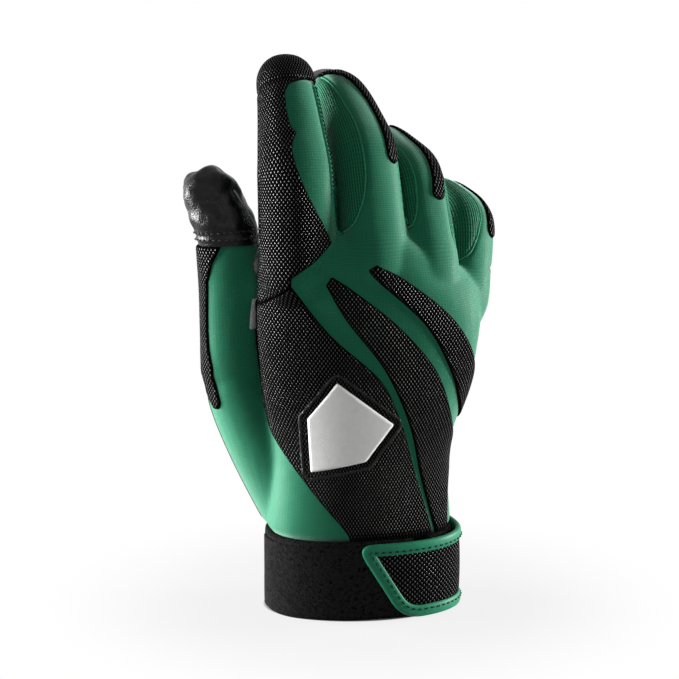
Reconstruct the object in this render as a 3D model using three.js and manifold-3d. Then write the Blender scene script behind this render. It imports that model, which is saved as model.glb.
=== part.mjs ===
// A right-hand batting glove standing on its cuff, with its fingers in a relaxed curl.
// X points to the little-finger side, Y to the palm side and Z along the hand, in millimetres.
// The origin is the middle of the glove's footprint, on the plane that the cuff stands on.
import * as THREE from "three";
import { mergeVertices } from "three/addons/utils/BufferGeometryUtils.js";
import Module from "manifold-3d";

const wasm = await Module();
wasm.setup();

// Hand and cuff sizes.
const CUFF_HEIGHT = 30;
const CUFF_WALL = 2.4;
const CUFF_PROUD = 0.8;
const CUFF_SLIT = 7;
const SLIT_ACROSS = 22;
const WRIST_WIDTH = 71;
const WRIST_DEPTH = 48;
const WAIST_WIDTH = 70;
const WAIST_DEPTH = 42;
const PALM_WIDTH = 82;
const PALM_DEPTH = 39;
const KNUCKLE_WIDTH = 87;
const KNUCKLE_DEPTH = 35;
const PALM_HEIGHT = 98;
const WAIST_RISE = 32.3;
const WIDEST_RISE = 58.8;
const KNUCKLE_LEAD = 10;
const KNUCKLE_LAG = 5;
const ROOT_NARROWING = 2;
const CROTCH_RISE = 17;
const CROTCH_NARROWING = 7;
const CROTCH_THINNING = 9;
// The gaps between the fingers drop towards the little finger, from a place past the middle finger.
const CROTCH_DROP = 21;
const CROTCH_DROP_FROM = 8;
const CROTCH_DROP_LEAD = 30;
const SPLIT_Y = 1;

// Walls and clearances.
const PANEL_WALL = 1.2;
const SEAM_GAP = 0.4;
const SKIN_GAP = 0.3;
const OVERLAY_WALL = 0.9;
const FOLD_GAP = 0.8;
const NEST_GAP = 0.8;
const NEST_STEP = PANEL_WALL + NEST_GAP;

// Fastening strap sizes.
const LOOP_WALL = 0.8;
const HOOK_WALL = 0.8;
const STRAP_WALL = 1.6;
const STRAP_EDGE_CLEAR = 1.2;
const STRAP_TAB_REACH = 5;
const STRAP_TAB_SLANT = 17;
const STRAP_ROOT_Y = 3;
const STRAP_CORNER = 4;
const STRAP_CORNER_CUT = 1.5;
const LOOP_CLEAR = 2;
const BINDING_WIDTH = 4.3;
const BINDING_PROUD = 0.4;

// Overlay and badge sizes.
const OVERLAY_FLOOR = 2;
const OVERLAY_EDGE_Y = 0;
const BADGE_SIZE = 26;
const BADGE_CENTRE = { share: -0.34, height: 42 };

// Finger sizes. Places are taken from the middle finger outwards, and angles are in degrees:
// fan leans a finger sideways, roll turns its back, and curl bends it at its three knuckles.
// stall is where the free finger starts above its knuckle, and open is how far each hinge straightens.
const MIDDLE_ACROSS = 4;
const FINGERS = {
  index: {
    neighbour: "middle", direction: -1, spacing: 6.3, forward: -3, rise: -1, fan: 0.5, roll: 3,
    bones: [42, 25, 20], curl: [8, 18, 12], width: 24.4, tipWidth: 19, stall: 22, open: [8, 18],
    backFrom: 42, backTo: 112,
  },
  middle: {
    forward: -6, rise: 2, fan: 3.5, roll: 14,
    bones: [46, 29, 21], curl: [22, 29, 16], width: 22, tipWidth: 17.5, stall: 22, open: [16, 28],
    backFrom: 42, backTo: 138,
  },
  ring: {
    neighbour: "middle", direction: 1, spacing: 0.8, forward: -3, rise: -1, fan: 8, roll: 20,
    bones: [39.5, 27, 20], curl: [30, 46, 24], width: 20.4, tipWidth: 16, stall: 22, open: [18, 40],
    backFrom: 42, backTo: 138,
  },
  pinky: {
    neighbour: "ring", direction: 1, spacing: -3, forward: 5, rise: -13, fan: 13, roll: 24,
    bones: [32.5, 21, 18], curl: [30, 50, 24], width: 18.6, tipWidth: 14.5, stall: 20, open: [18, 40],
    backFrom: 42, backTo: 138,
  },
};
const THUMB = {
  place: [-45.2, 17, 88], fan: -4, roll: -6,
  bones: [48, 15, 16], curl: [0, 6, 0], width: 26, tipWidth: 22, stall: 17, open: [10, 6],
  backFrom: 30, backTo: 150,
};
// The thumb's root swells out of the heel of the hand: centre and radius up to the thumb's base.
const THUMB_ROOT = [
  { place: [-20, 7, 33], radius: 17 },
  { place: [-35, 12, 58], radius: 16.2 },
  { place: [-43, 16, 78], radius: 15 },
];
const GUSSET_REACH = 5;
const FINGER_FLATNESS = 0.92;
const FINGERTIP_SQUASH = 0.95;
const BEND_REACH = 9;
const TUCK_LENGTH = 7;
const SIDE_TUCK = 2;
const SWING_SPARE = 4;
const EDGE_START = 7;
const ROOT_DEPTH = 16;
const ROOT_TAPER = 0.65;
const ROOT_LAG = 2;
// How far a root's outside, its hollow and the gusset's cut run past the start of the free finger.
const ROOT_OVERRUN = 3;
const HOLLOW_OVERRUN = 22;
const GUSSET_OVERRUN = 8;
// The hand's top edge is rounded: how far below the top, and how far inwards.
const TOP_ROUNDING = [{ below: 6, inward: 0 }, { below: 2, inward: 2 }, { below: 0, inward: 5 }];

// Resolution of the faceted surfaces.
const HAND_SIDES = 32;
const HAND_ROWS = 7;
const FINGER_SIDES = 16;
const FINGER_ROWS = { lowerBack: 6, lowerPalm: 4, upperBack: 8, upperPalm: 6, side: 8, edge: 7 };
const FINGER_COLUMNS = { back: 4, palm: 4, inner: 3, outer: 2, edge: 3 };
const THUMB_ROWS = { back: 6, palm: 5, side: 5, root: 5 };
const THUMB_BACK_COLUMNS = 7;
const TIP_ROWS = 4;
const TIP_CLOSE = 80;
const OUTLINE_STEPS = 2;
const WALK_STEP = 0.5;
const STUB_STEP = 5.5;
const WELD = 1e-3;

// Cutting shapes, which only have to be large enough.
const CUT_SIZE = 60;
const CUT_PALM_REACH = 14;
const CUT_LEAD = 1;
const HOLLOW_LEAD = 5;
const FAR = 300;

// Colours and finishes.
const FINISHES = {
  green_knit: { color: 0x1c5c42, roughness: 0.6, metalness: 0 },
  green_mesh: { color: 0x0f4b32, roughness: 0.8, metalness: 0 },
  green_binding: { color: 0x1b5f45, roughness: 0.4, metalness: 0 },
  black_weave: { color: 0x141212, roughness: 0.6, metalness: 0 },
  black_leather: { color: 0x121010, roughness: 0.35, metalness: 0 },
  black_loop: { color: 0x0d0c0c, roughness: 0.95, metalness: 0 },
  white_thread: { color: 0xe4e4e2, roughness: 0.6, metalness: 0 },
};

// Angles round a finger, in degrees from its little-finger side over its back.
const BACK = 90;
const PALM = 270;
const PALM_FROM = 226;
const PALM_TO = 314;
const EDGE_FROM = 20;
const EDGE_TO = 58;
const SEAM_ANGLE = 2.2;

const RADIAN = Math.PI / 180;
const HAND_POWER = 2.4;
const FINGER_POWER = 2.3;
const KNUCKLE_Z = CUFF_HEIGHT + PALM_HEIGHT;
const Z_AXIS = new THREE.Vector3(0, 0, 1);

const glove = new THREE.Group();
glove.name = "batting_glove";
const hinges = [];

// Meshes and solids

function addPiece(name, geometry, finish) {
  const mesh = new THREE.Mesh(geometry, new THREE.MeshStandardMaterial(FINISHES[finish]));
  mesh.name = name;
  glove.add(mesh);
}

function solidOf(geometry) {
  const bare = geometry.clone();
  bare.deleteAttribute("normal");
  bare.deleteAttribute("uv");
  const merged = mergeVertices(bare, WELD);
  return new wasm.Manifold(new wasm.Mesh({
    numProp: 3,
    vertProperties: Float32Array.from(merged.attributes.position.array),
    triVerts: Uint32Array.from(merged.index.array),
  }));
}

function geometryOf(solid) {
  const mesh = solid.getMesh();
  const geometry = new THREE.BufferGeometry();
  geometry.setAttribute("position", new THREE.BufferAttribute(Float32Array.from(mesh.vertProperties), 3));
  geometry.setIndex(new THREE.BufferAttribute(Uint32Array.from(mesh.triVerts), 1));
  geometry.computeVertexNormals();
  return geometry;
}

function geometryFrom(points, faces) {
  let volume = 0;
  for (const [i, j, k] of faces) {
    volume += points[i].dot(new THREE.Vector3().crossVectors(points[j], points[k])) / 6;
  }
  const turned = volume < 0 ? faces.map(([i, j, k]) => [i, k, j]) : faces;
  const geometry = new THREE.BufferGeometry().setFromPoints(points);
  geometry.setIndex(turned.flat());
  geometry.computeVertexNormals();
  return geometry;
}

// A closed solid through rings of points, capped at both ends.
function loft(rings) {
  const points = rings.flat();
  const count = rings[0].length;
  const faces = [];
  for (let row = 0; row + 1 < rings.length; row += 1) {
    for (let i = 0; i < count; i += 1) {
      const a = row * count + i;
      const b = row * count + ((i + 1) % count);
      faces.push([a, b, b + count], [a, b + count, a + count]);
    }
  }
  for (const [row, turn] of [[0, 1], [rings.length - 1, 0]]) {
    const centre = points.length;
    points.push(rings[row].reduce((sum, p) => sum.add(p), new THREE.Vector3()).divideScalar(count));
    for (let i = 0; i < count; i += 1) {
      const a = row * count + i;
      const b = row * count + ((i + 1) % count);
      faces.push(turn ? [centre, b, a] : [centre, a, b]);
    }
  }
  return geometryFrom(points, faces);
}

// A cup between outer and inner rings that both run from the rim to the closed end.
function cup(outer, inner) {
  return loft([...inner.toReversed(), ...outer]);
}

// A curved plate between an outer and an inner sheet of points.
function plate(outer, inner) {
  const rows = outer.length;
  const columns = outer[0].length;
  const points = [...outer.flat(), ...inner.flat()];
  const below = rows * columns;
  const at = (row, column) => row * columns + column;
  const faces = [];
  const quad = (a, b, c, d) => faces.push([a, b, c], [a, c, d]);
  for (let r = 0; r + 1 < rows; r += 1) {
    for (let c = 0; c + 1 < columns; c += 1) {
      quad(at(r, c), at(r, c + 1), at(r + 1, c + 1), at(r + 1, c));
      quad(below + at(r, c), below + at(r + 1, c), below + at(r + 1, c + 1), below + at(r, c + 1));
    }
  }
  for (let c = 0; c + 1 < columns; c += 1) {
    quad(at(0, c + 1), at(0, c), below + at(0, c), below + at(0, c + 1));
    const last = rows - 1;
    quad(at(last, c), at(last, c + 1), below + at(last, c + 1), below + at(last, c));
  }
  for (let r = 0; r + 1 < rows; r += 1) {
    quad(at(r, 0), at(r + 1, 0), below + at(r + 1, 0), below + at(r, 0));
    const last = columns - 1;
    quad(at(r + 1, last), at(r, last), below + at(r, last), below + at(r + 1, last));
  }
  return geometryFrom(points, faces);
}

// Shapes of sections

const smooth = (t) => {
  const k = Math.min(1, Math.max(0, t));
  return k * k * (3 - 2 * k);
};

const mix = (a, b, t) => a + (b - a) * t;

// Distance from the middle to a rounded outline at an angle.
function reach(angle, halfWidth, halfDepth, power) {
  const across = Math.abs(Math.cos(angle) / halfWidth) ** power;
  const deep = Math.abs(Math.sin(angle) / halfDepth) ** power;
  return (across + deep) ** (-1 / power);
}

function spread(from, to, count) {
  return Array.from({ length: count + 1 }, (_, i) => mix(from, to, i / count));
}

// The hand: sections from the cuff to the roots of the fingers.
const HAND_SECTIONS = [
  { z: 0, x: -1.5, y: 0, width: WRIST_WIDTH, depth: WRIST_DEPTH },
  { z: CUFF_HEIGHT, x: -1.5, y: 0, width: WRIST_WIDTH, depth: WRIST_DEPTH },
  { z: CUFF_HEIGHT + WAIST_RISE, x: 0.6, y: 0, width: WAIST_WIDTH, depth: WAIST_DEPTH },
  { z: CUFF_HEIGHT + WIDEST_RISE, x: 3.2, y: 0, width: PALM_WIDTH, depth: PALM_DEPTH },
  { z: KNUCKLE_Z - KNUCKLE_LEAD, x: 4.2, y: 0, width: KNUCKLE_WIDTH, depth: KNUCKLE_DEPTH },
  {
    z: KNUCKLE_Z + KNUCKLE_LAG, x: 4.5, y: 1.5,
    width: KNUCKLE_WIDTH - ROOT_NARROWING, depth: KNUCKLE_DEPTH - ROOT_NARROWING,
  },
  {
    z: KNUCKLE_Z + CROTCH_RISE, x: 5, y: 4,
    width: KNUCKLE_WIDTH - CROTCH_NARROWING, depth: KNUCKLE_DEPTH - CROTCH_THINNING,
  },
];

function handSection(z) {
  const last = HAND_SECTIONS.length - 1;
  let i = 0;
  while (i < last - 1 && z > HAND_SECTIONS[i + 1].z) {
    i += 1;
  }
  const low = HAND_SECTIONS[i];
  const high = HAND_SECTIONS[i + 1];
  const t = smooth((z - low.z) / (high.z - low.z));
  return {
    x: mix(low.x, high.x, t),
    y: mix(low.y, high.y, t),
    halfWidth: mix(low.width, high.width, t) / 2,
    halfDepth: mix(low.depth, high.depth, t) / 2,
  };
}

function handRing(z, offset) {
  const section = handSection(z);
  return Array.from({ length: HAND_SIDES }, (_, i) => {
    const angle = (2 * Math.PI * i) / HAND_SIDES;
    const r = reach(angle, section.halfWidth + offset, section.halfDepth + offset, HAND_POWER);
    const x = section.x + r * Math.cos(angle);
    const share = smooth((z - KNUCKLE_Z + CROTCH_DROP_LEAD) / (CROTCH_RISE + CROTCH_DROP_LEAD));
    const drop = CROTCH_DROP * share * smooth((x - CROTCH_DROP_FROM) / (KNUCKLE_WIDTH / 2));
    return new THREE.Vector3(x, section.y + r * Math.sin(angle), z - drop);
  });
}

function lengthOf(spec) {
  return spec.bones[0] + spec.bones[1] + spec.bones[2];
}

// Fingers: a centre line that bends at each knuckle, with a frame at every place along it.
function fingerPath(spec, place) {
  const lean = spec.fan * RADIAN;
  const across = new THREE.Vector3(Math.cos(lean), 0, -Math.sin(lean));
  const side = across.applyAxisAngle(Z_AXIS, spec.roll * RADIAN);
  const straight = new THREE.Vector3(Math.sin(lean), 0, Math.cos(lean));
  straight.addScaledVector(side, -straight.dot(side)).normalize();
  const knuckles = [0, spec.bones[0], spec.bones[0] + spec.bones[1]];
  const heading = (s) => {
    const bends = knuckles.map((k, i) => spec.curl[i] * smooth((s - k) / (2 * BEND_REACH) + 0.5));
    return straight.clone().applyAxisAngle(side, -RADIAN * bends.reduce((sum, bend) => sum + bend, 0));
  };
  const walk = (s) => {
    const steps = Math.max(1, Math.round(Math.abs(s) / WALK_STEP));
    const p = place.clone();
    for (let i = 0; i < steps; i += 1) {
      p.addScaledVector(heading((s * (i + 0.5)) / steps), s / steps);
    }
    return p;
  };
  const at = (s) => {
    const forward = heading(s);
    const back = new THREE.Vector3().crossVectors(side, forward);
    return { point: walk(s), forward, back, side };
  };
  return { at };
}

function onSection(frame, halfWidth, angle) {
  const r = reach(angle * RADIAN, halfWidth, halfWidth * FINGER_FLATNESS, FINGER_POWER);
  return frame.point.clone()
    .addScaledVector(frame.side, r * Math.cos(angle * RADIAN))
    .addScaledVector(frame.back, r * Math.sin(angle * RADIAN));
}

function tubeRings(path, places, halfWidthAt) {
  return places.map((s) => {
    const frame = path.at(s);
    return spread(0, 360, FINGER_SIDES).slice(0, -1).map((angle) => onSection(frame, halfWidthAt(s), angle));
  });
}

function tube(path, places, halfWidthAt) {
  return loft(tubeRings(path, places, halfWidthAt));
}

// A hinge line lies on the palm side of a finger, where the fabric folds.
function hingeAt(path, s, halfWidth) {
  const frame = path.at(s);
  const origin = onSection(frame, halfWidth, PALM);
  return { origin, axis: frame.side.clone().negate(), frame };
}

// How high a point of a section stands above the hinge line.
function heightAbovePalm(halfWidth, angle) {
  const high = halfWidth * FINGER_FLATNESS;
  const r = reach(angle * RADIAN, halfWidth, high, FINGER_POWER);
  return high + r * Math.sin(angle * RADIAN);
}

// Draws a point in towards the hinge line, so that the tucked end swings clear of what covers it.
function tuckIn(point, hinge, limit) {
  const arm = point.clone().sub(hinge.origin);
  const along = arm.clone().projectOnVector(hinge.axis);
  const swing = arm.sub(along);
  if (swing.length() > limit) {
    swing.setLength(limit);
  }
  return hinge.origin.clone().add(along).add(swing);
}

function swingRadius(point, hinge) {
  const arm = point.clone().sub(hinge.origin);
  return arm.sub(arm.clone().projectOnVector(hinge.axis)).length();
}

// A plate along a finger. Its ends may depend on the angle round the finger.
function fingerPlate(path, angles, startAt, endAt, rows, halfWidthAt, tuck) {
  const sheet = (inset) => spread(0, 1, rows).map((t) => angles.map((angle) => {
    const s = mix(startAt(angle), endAt(angle), t);
    const point = onSection(path.at(s), halfWidthAt(s) - inset, angle);
    if (tuck && s < tuck.edge) {
      const rim = onSection(path.at(tuck.edge), halfWidthAt(tuck.edge) - inset, angle);
      return tuckIn(point, tuck.hinge, swingRadius(rim, tuck.hinge));
    }
    return point;
  }));
  return plate(sheet(0), sheet(PANEL_WALL));
}

// Places of the fingers across the hand, from their widths and the spacing between them.
function fingerPlace(name) {
  const spec = FINGERS[name];
  let across = MIDDLE_ACROSS;
  if (spec.neighbour) {
    const beside = FINGERS[spec.neighbour];
    const step = (spec.width + beside.width) / 2 + spec.spacing;
    across = fingerPlace(spec.neighbour).x + spec.direction * step;
  }
  return new THREE.Vector3(across, spec.forward, KNUCKLE_Z + spec.rise);
}

const paths = { thumb: fingerPath(THUMB, new THREE.Vector3(...THUMB.place)) };
for (const name of Object.keys(FINGERS)) {
  paths[name] = fingerPath(FINGERS[name], fingerPlace(name));
}
const digits = { ...FINGERS, thumb: THUMB };

// Half width of a finger tube: full up to the middle knuckle, then one nesting step slimmer to the tip.
function lowerHalf(spec) {
  return spec.width / 2;
}

function upperHalf(spec, s) {
  const first = lowerHalf(spec) - NEST_STEP;
  const t = (s - spec.bones[0]) / (lengthOf(spec) - spec.bones[0]);
  return mix(first, Math.min(first, spec.tipWidth / 2), Math.min(1, Math.max(0, t)));
}

function capStart(spec) {
  return lengthOf(spec) - (spec.tipWidth / 2) * FINGERTIP_SQUASH;
}

// The rounded end of a finger: a cup that starts at a rim and closes on the tip.
function fingertip(path, spec, rim, widthAt) {
  const start = capStart(spec);
  const rings = (inset) => {
    const total = lengthOf(spec) - inset;
    const turns = spread(0, TIP_CLOSE, TIP_ROWS);
    const dome = turns.map((angle) => start + (total - start) * Math.sin(angle * RADIAN));
    const places = rim < start ? [rim, mix(rim, start, 0.5), ...dome] : dome;
    return tubeRings(path, places, (s) => {
      const k = Math.max(0, (s - start) / (total - start));
      return (widthAt(s) - inset) * Math.sqrt(1 - k * k);
    });
  };
  return cup(rings(0), rings(PANEL_WALL));
}

// Everything past a hinge, from a plane through the hinge line that leans back by some degrees.
function halfSpace(hinge, tilt, halfWidth) {
  const box = new THREE.BoxGeometry(2 * halfWidth, CUT_SIZE, CUT_SIZE);
  box.translate(0, CUT_SIZE / 2 - CUT_PALM_REACH, CUT_SIZE / 2);
  const { side, back, forward } = hinge.frame;
  const basis = new THREE.Matrix4().makeBasis(side.clone().negate(), back, forward);
  const turn = new THREE.Matrix4().makeRotationX(-tilt * RADIAN);
  box.applyMatrix4(new THREE.Matrix4().setPosition(hinge.origin).multiply(basis.multiply(turn)));
  return solidOf(box);
}

// The root of a finger, which sinks into the hand behind its knuckle and ends past its free start.
function stubOf(name, offset, extra) {
  const spec = digits[name];
  const end = spec.stall + extra;
  const places = spread(-ROOT_DEPTH, end, Math.round((end + ROOT_DEPTH) / STUB_STEP));
  const sink = (s) => mix(ROOT_TAPER, 1, smooth((s + ROOT_DEPTH) / (ROOT_DEPTH + ROOT_LAG)));
  return solidOf(tube(paths[name], places, (s) => lowerHalf(spec) * sink(s) + offset));
}

function thumbRoot(offset, lead = 0) {
  const first = paths.thumb.at(0);
  const neck = THUMB.width / 2 + NEST_STEP + SKIN_GAP;
  const knots = [...THUMB_ROOT, { place: first.point.toArray(), radius: neck }];
  const centres = knots.map((knot) => new THREE.Vector3(...knot.place));
  const line = new THREE.CatmullRomCurve3(centres);
  const start = line.getTangent(0).multiplyScalar(-lead);
  const rings = spread(0, 1, THUMB_ROWS.root).map((t) => {
    const centre = line.getPoint(t).addScaledVector(start, 1 - t);
    const forward = line.getTangent(t);
    const side = first.side.clone().addScaledVector(forward, -first.side.dot(forward)).normalize();
    const back = new THREE.Vector3().crossVectors(side, forward);
    const place = t * (knots.length - 1);
    const i = Math.min(knots.length - 2, Math.floor(place));
    const radius = mix(knots[i].radius, knots[i + 1].radius, place - i) + offset;
    return spread(0, 360, FINGER_SIDES).slice(0, -1).map((angle) => centre.clone()
      .addScaledVector(side, radius * Math.cos(angle * RADIAN))
      .addScaledVector(back, radius * Math.sin(angle * RADIAN)));
  });
  return solidOf(loft(rings));
}

const HAND_FLOOR = CUFF_HEIGHT + SKIN_GAP;

function handLoft(offset, from) {
  const top = KNUCKLE_Z + CROTCH_RISE + offset;
  const sides = spread(from, KNUCKLE_Z + KNUCKLE_LAG, HAND_ROWS).map((z) => handRing(z, offset));
  const edge = TOP_ROUNDING.map(({ below, inward }) => handRing(top - below, offset - inward));
  return solidOf(loft([...sides, ...edge]));
}

function handForm(offset) {
  let form = handLoft(offset, HAND_FLOOR).add(thumbRoot(offset));
  for (const name of Object.keys(digits)) {
    form = form.add(stubOf(name, NEST_STEP + offset, ROOT_OVERRUN));
  }
  return form;
}

// Where the hand's shell uncovers the back of a free finger, with room for the finger to straighten.
function stallLean(spec) {
  return spec.open[0] / 2 + SWING_SPARE;
}

function coverEdgeOf(spec) {
  return spec.stall - heightAbovePalm(lowerHalf(spec), BACK) * Math.tan(stallLean(spec) * RADIAN);
}

// Where the hand's shell stops at each free finger: the plane leans back to let the finger straighten.
const stallCuts = Object.keys(digits).map((name) => {
  const spec = digits[name];
  const hinge = hingeAt(paths[name], spec.stall, lowerHalf(spec));
  const room = lowerHalf(spec) + NEST_STEP + SKIN_GAP + OVERLAY_WALL;
  return halfSpace(hinge, stallLean(spec), room);
});

function trimmed(form) {
  return stallCuts.reduce((solid, cut) => solid.subtract(cut), form);
}

function slab(low, high) {
  const size = new THREE.Vector3().subVectors(high, low);
  const box = new THREE.BoxGeometry(size.x, size.y, size.z);
  box.translate((low.x + high.x) / 2, (low.y + high.y) / 2, (low.z + high.z) / 2);
  return solidOf(box);
}

const backSide = slab(new THREE.Vector3(-FAR, -FAR, HAND_FLOOR), new THREE.Vector3(FAR, SPLIT_Y, FAR));
const palmSide = slab(
  new THREE.Vector3(-FAR, SPLIT_Y + SEAM_GAP, HAND_FLOOR),
  new THREE.Vector3(FAR, FAR, FAR),
);

// The one body of a cut panel, without slivers that a cut leaves along a seam.
function bodyOf(solid) {
  const bodies = solidOf(geometryOf(solid)).decompose();
  return geometryOf(bodies.sort((a, b) => b.volume() - a.volume())[0]);
}

// Hand shell: back panel, palm panel and the thumb's gusset.
let lumen = handLoft(-PANEL_WALL, HAND_FLOOR - HOLLOW_LEAD).add(thumbRoot(-PANEL_WALL));
for (const name of Object.keys(digits)) {
  lumen = lumen.add(stubOf(name, NEST_GAP, HOLLOW_OVERRUN));
}
const aboveCuff = slab(new THREE.Vector3(-FAR, -FAR, HAND_FLOOR), new THREE.Vector3(FAR, FAR, FAR));
const shell = trimmed(handForm(0)).subtract(lumen).intersect(aboveCuff);

function thumbSleeve(grow) {
  const sleeve = thumbRoot(GUSSET_REACH + grow, grow);
  return sleeve.add(stubOf("thumb", NEST_STEP + GUSSET_REACH + grow, GUSSET_OVERRUN));
}

const gussetCut = thumbSleeve(0);
const gussetClear = thumbSleeve(SEAM_GAP);
addPiece("thumb_gusset", bodyOf(shell.intersect(gussetCut)), "green_knit");
addPiece("back_panel", bodyOf(shell.subtract(gussetClear).intersect(backSide)), "green_knit");
addPiece("palm_panel", bodyOf(shell.subtract(gussetClear).intersect(palmSide)), "black_leather");

// Free fingers: back strips, palm strips, sides and tips.
function sideAngles(spec, which) {
  if (which === "outer") {
    return spread(PALM_TO - 360 + SEAM_ANGLE, spec.backFrom - SEAM_ANGLE, FINGER_COLUMNS.outer);
  }
  return spread(spec.backTo + SEAM_ANGLE, PALM_FROM - SEAM_ANGLE, FINGER_COLUMNS.inner);
}

function makeFinger(name, finishes) {
  const spec = digits[name];
  const path = paths[name];
  const half = lowerHalf(spec);
  const knuckle = hingeAt(path, spec.stall, half);
  const fold = spec.bones[0];
  const middle = hingeAt(path, fold, upperHalf(spec, fold));
  hinges.push({ name: `${name}_knuckle`, ...knuckle }, { name: `${name}_middle`, ...middle });
  const backAngles = spread(spec.backFrom, spec.backTo, FINGER_COLUMNS.back);
  const palmAngles = spread(PALM_FROM, PALM_TO, FINGER_COLUMNS.palm);
  const upper = (s) => upperHalf(spec, s);
  const lean = (angle, opening) => heightAbovePalm(half, angle) * Math.tan((opening / 2) * RADIAN);
  const capEdge = capStart(spec);
  const backEdge = fold - BEND_REACH;

  const coverEdge = coverEdgeOf(spec);
  addPiece(`${name}_lower_back`, fingerPlate(
    path, backAngles, () => coverEdge - TUCK_LENGTH, () => backEdge, FINGER_ROWS.lowerBack, () => half,
    { hinge: knuckle, edge: coverEdge },
  ), finishes.back);
  addPiece(`${name}_lower_palm`, fingerPlate(
    path, palmAngles,
    (angle) => spec.stall + FOLD_GAP + lean(angle, spec.open[0]),
    (angle) => fold - FOLD_GAP - lean(angle, spec.open[1]),
    FINGER_ROWS.lowerPalm, () => half,
  ), finishes.palm);
  addPiece(`${name}_upper_back`, fingerPlate(
    path, backAngles, () => backEdge - TUCK_LENGTH, () => capEdge - SEAM_GAP, FINGER_ROWS.upperBack, upper,
    { hinge: middle, edge: backEdge },
  ), finishes.back);
  addPiece(`${name}_upper_palm`, fingerPlate(
    path, palmAngles,
    (angle) => fold + FOLD_GAP + lean(angle, spec.open[1]),
    () => capEdge - SEAM_GAP,
    FINGER_ROWS.upperPalm, upper,
  ), finishes.palm);
  addPiece(`${name}_tip_cap`, fingertip(path, spec, capEdge, upper), finishes.tip);
  const sideWidth = (s) => mix(half, upper(s), smooth((s - backEdge) / BEND_REACH));
  for (const which of ["inner", "outer"]) {
    addPiece(finishes[which].name, fingerPlate(
      path, sideAngles(spec, which), () => spec.stall - SIDE_TUCK, () => capEdge - SEAM_GAP,
      FINGER_ROWS.side, sideWidth,
    ), finishes[which].finish);
  }
  if (finishes.edge) {
    const grown = (s) => upper(s) + SKIN_GAP + PANEL_WALL;
    addPiece(`${name}_edge_overlay`, fingerPlate(
      path, spread(EDGE_FROM, EDGE_TO, FINGER_COLUMNS.edge), () => fold + EDGE_START, () => capEdge,
      FINGER_ROWS.edge, grown,
    ), finishes.edge);
  }
}

makeFinger("index", {
  back: "green_knit",
  palm: "black_leather",
  tip: "black_weave",
  inner: { name: "index_side_panel", finish: "black_weave" },
  outer: { name: "index_fourchette", finish: "green_mesh" },
});
for (const name of ["middle", "ring", "pinky"]) {
  makeFinger(name, {
    back: "green_knit",
    palm: "black_leather",
    tip: "black_leather",
    edge: "black_weave",
    inner: { name: `${name}_inner_fourchette`, finish: "green_mesh" },
    outer: {
      name: name === "pinky" ? "pinky_side_panel" : `${name}_outer_fourchette`,
      finish: name === "pinky" ? "green_knit" : "green_mesh",
    },
  });
}

// Thumb: back and palm panels, a strip on each side, and a leather cap over the tip.
function makeThumb() {
  const spec = THUMB;
  const path = paths.thumb;
  const half = lowerHalf(spec);
  const knuckle = hingeAt(path, spec.stall, half);
  const fold = spec.bones[0];
  const tipHinge = hingeAt(path, fold, half);
  hinges.push({ name: "thumb_base", ...knuckle }, { name: "thumb_tip", ...tipHinge });
  const backAngles = spread(spec.backFrom, spec.backTo, THUMB_BACK_COLUMNS);
  const palmAngles = spread(PALM_FROM, PALM_TO, FINGER_COLUMNS.palm);
  const lean = (angle, opening) => heightAbovePalm(half, angle) * Math.tan((opening / 2) * RADIAN);
  const coverEdge = coverEdgeOf(spec);
  const foldEdge = (angle) => fold - FOLD_GAP - lean(angle, spec.open[1]);
  addPiece("thumb_back_panel", fingerPlate(
    path, backAngles, () => coverEdge - TUCK_LENGTH, foldEdge, THUMB_ROWS.back, () => half,
    { hinge: knuckle, edge: coverEdge },
  ), "green_knit");
  addPiece("thumb_palm_panel", fingerPlate(
    path, palmAngles, (angle) => spec.stall + FOLD_GAP + lean(angle, spec.open[0]), foldEdge,
    THUMB_ROWS.palm, () => half,
  ), "black_leather");
  for (const which of ["inner", "outer"]) {
    const name = which === "inner" ? "thumb_outer_strip" : "thumb_web_strip";
    addPiece(name, fingerPlate(
      path, sideAngles(spec, which), () => spec.stall - SIDE_TUCK, foldEdge, THUMB_ROWS.side, () => half,
    ), which === "inner" ? "black_weave" : "black_leather");
  }
  const capWidth = (s) => mix(half, spec.tipWidth / 2, (s - fold) / (capStart(spec) - fold));
  addPiece("thumb_tip_cap", fingertip(path, spec, fold + SKIN_GAP, capWidth), "black_leather");
}

makeThumb();

// Overlays on the back of the hand. Their outlines are given across the hand as a share of its half width
// at each height, and up the hand in millimetres above the cuff.
function prism(points, fromY) {
  const shape = new THREE.Shape(points);
  const geometry = new THREE.ExtrudeGeometry(shape, { depth: FAR, bevelEnabled: false });
  geometry.rotateX(Math.PI / 2);
  geometry.translate(0, fromY, 0);
  return solidOf(geometry);
}

function handOutline(sides) {
  return sides.flatMap((side) => {
    const line = new THREE.SplineCurve(side.map(([share, height]) => {
      const z = CUFF_HEIGHT + height;
      const section = handSection(z);
      return new THREE.Vector2(section.x + share * section.halfWidth, z);
    }));
    return line.getPoints((side.length - 1) * OUTLINE_STEPS);
  });
}

function overlayLayer(from, wall) {
  return trimmed(handForm(from + wall)).subtract(handForm(from));
}

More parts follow.
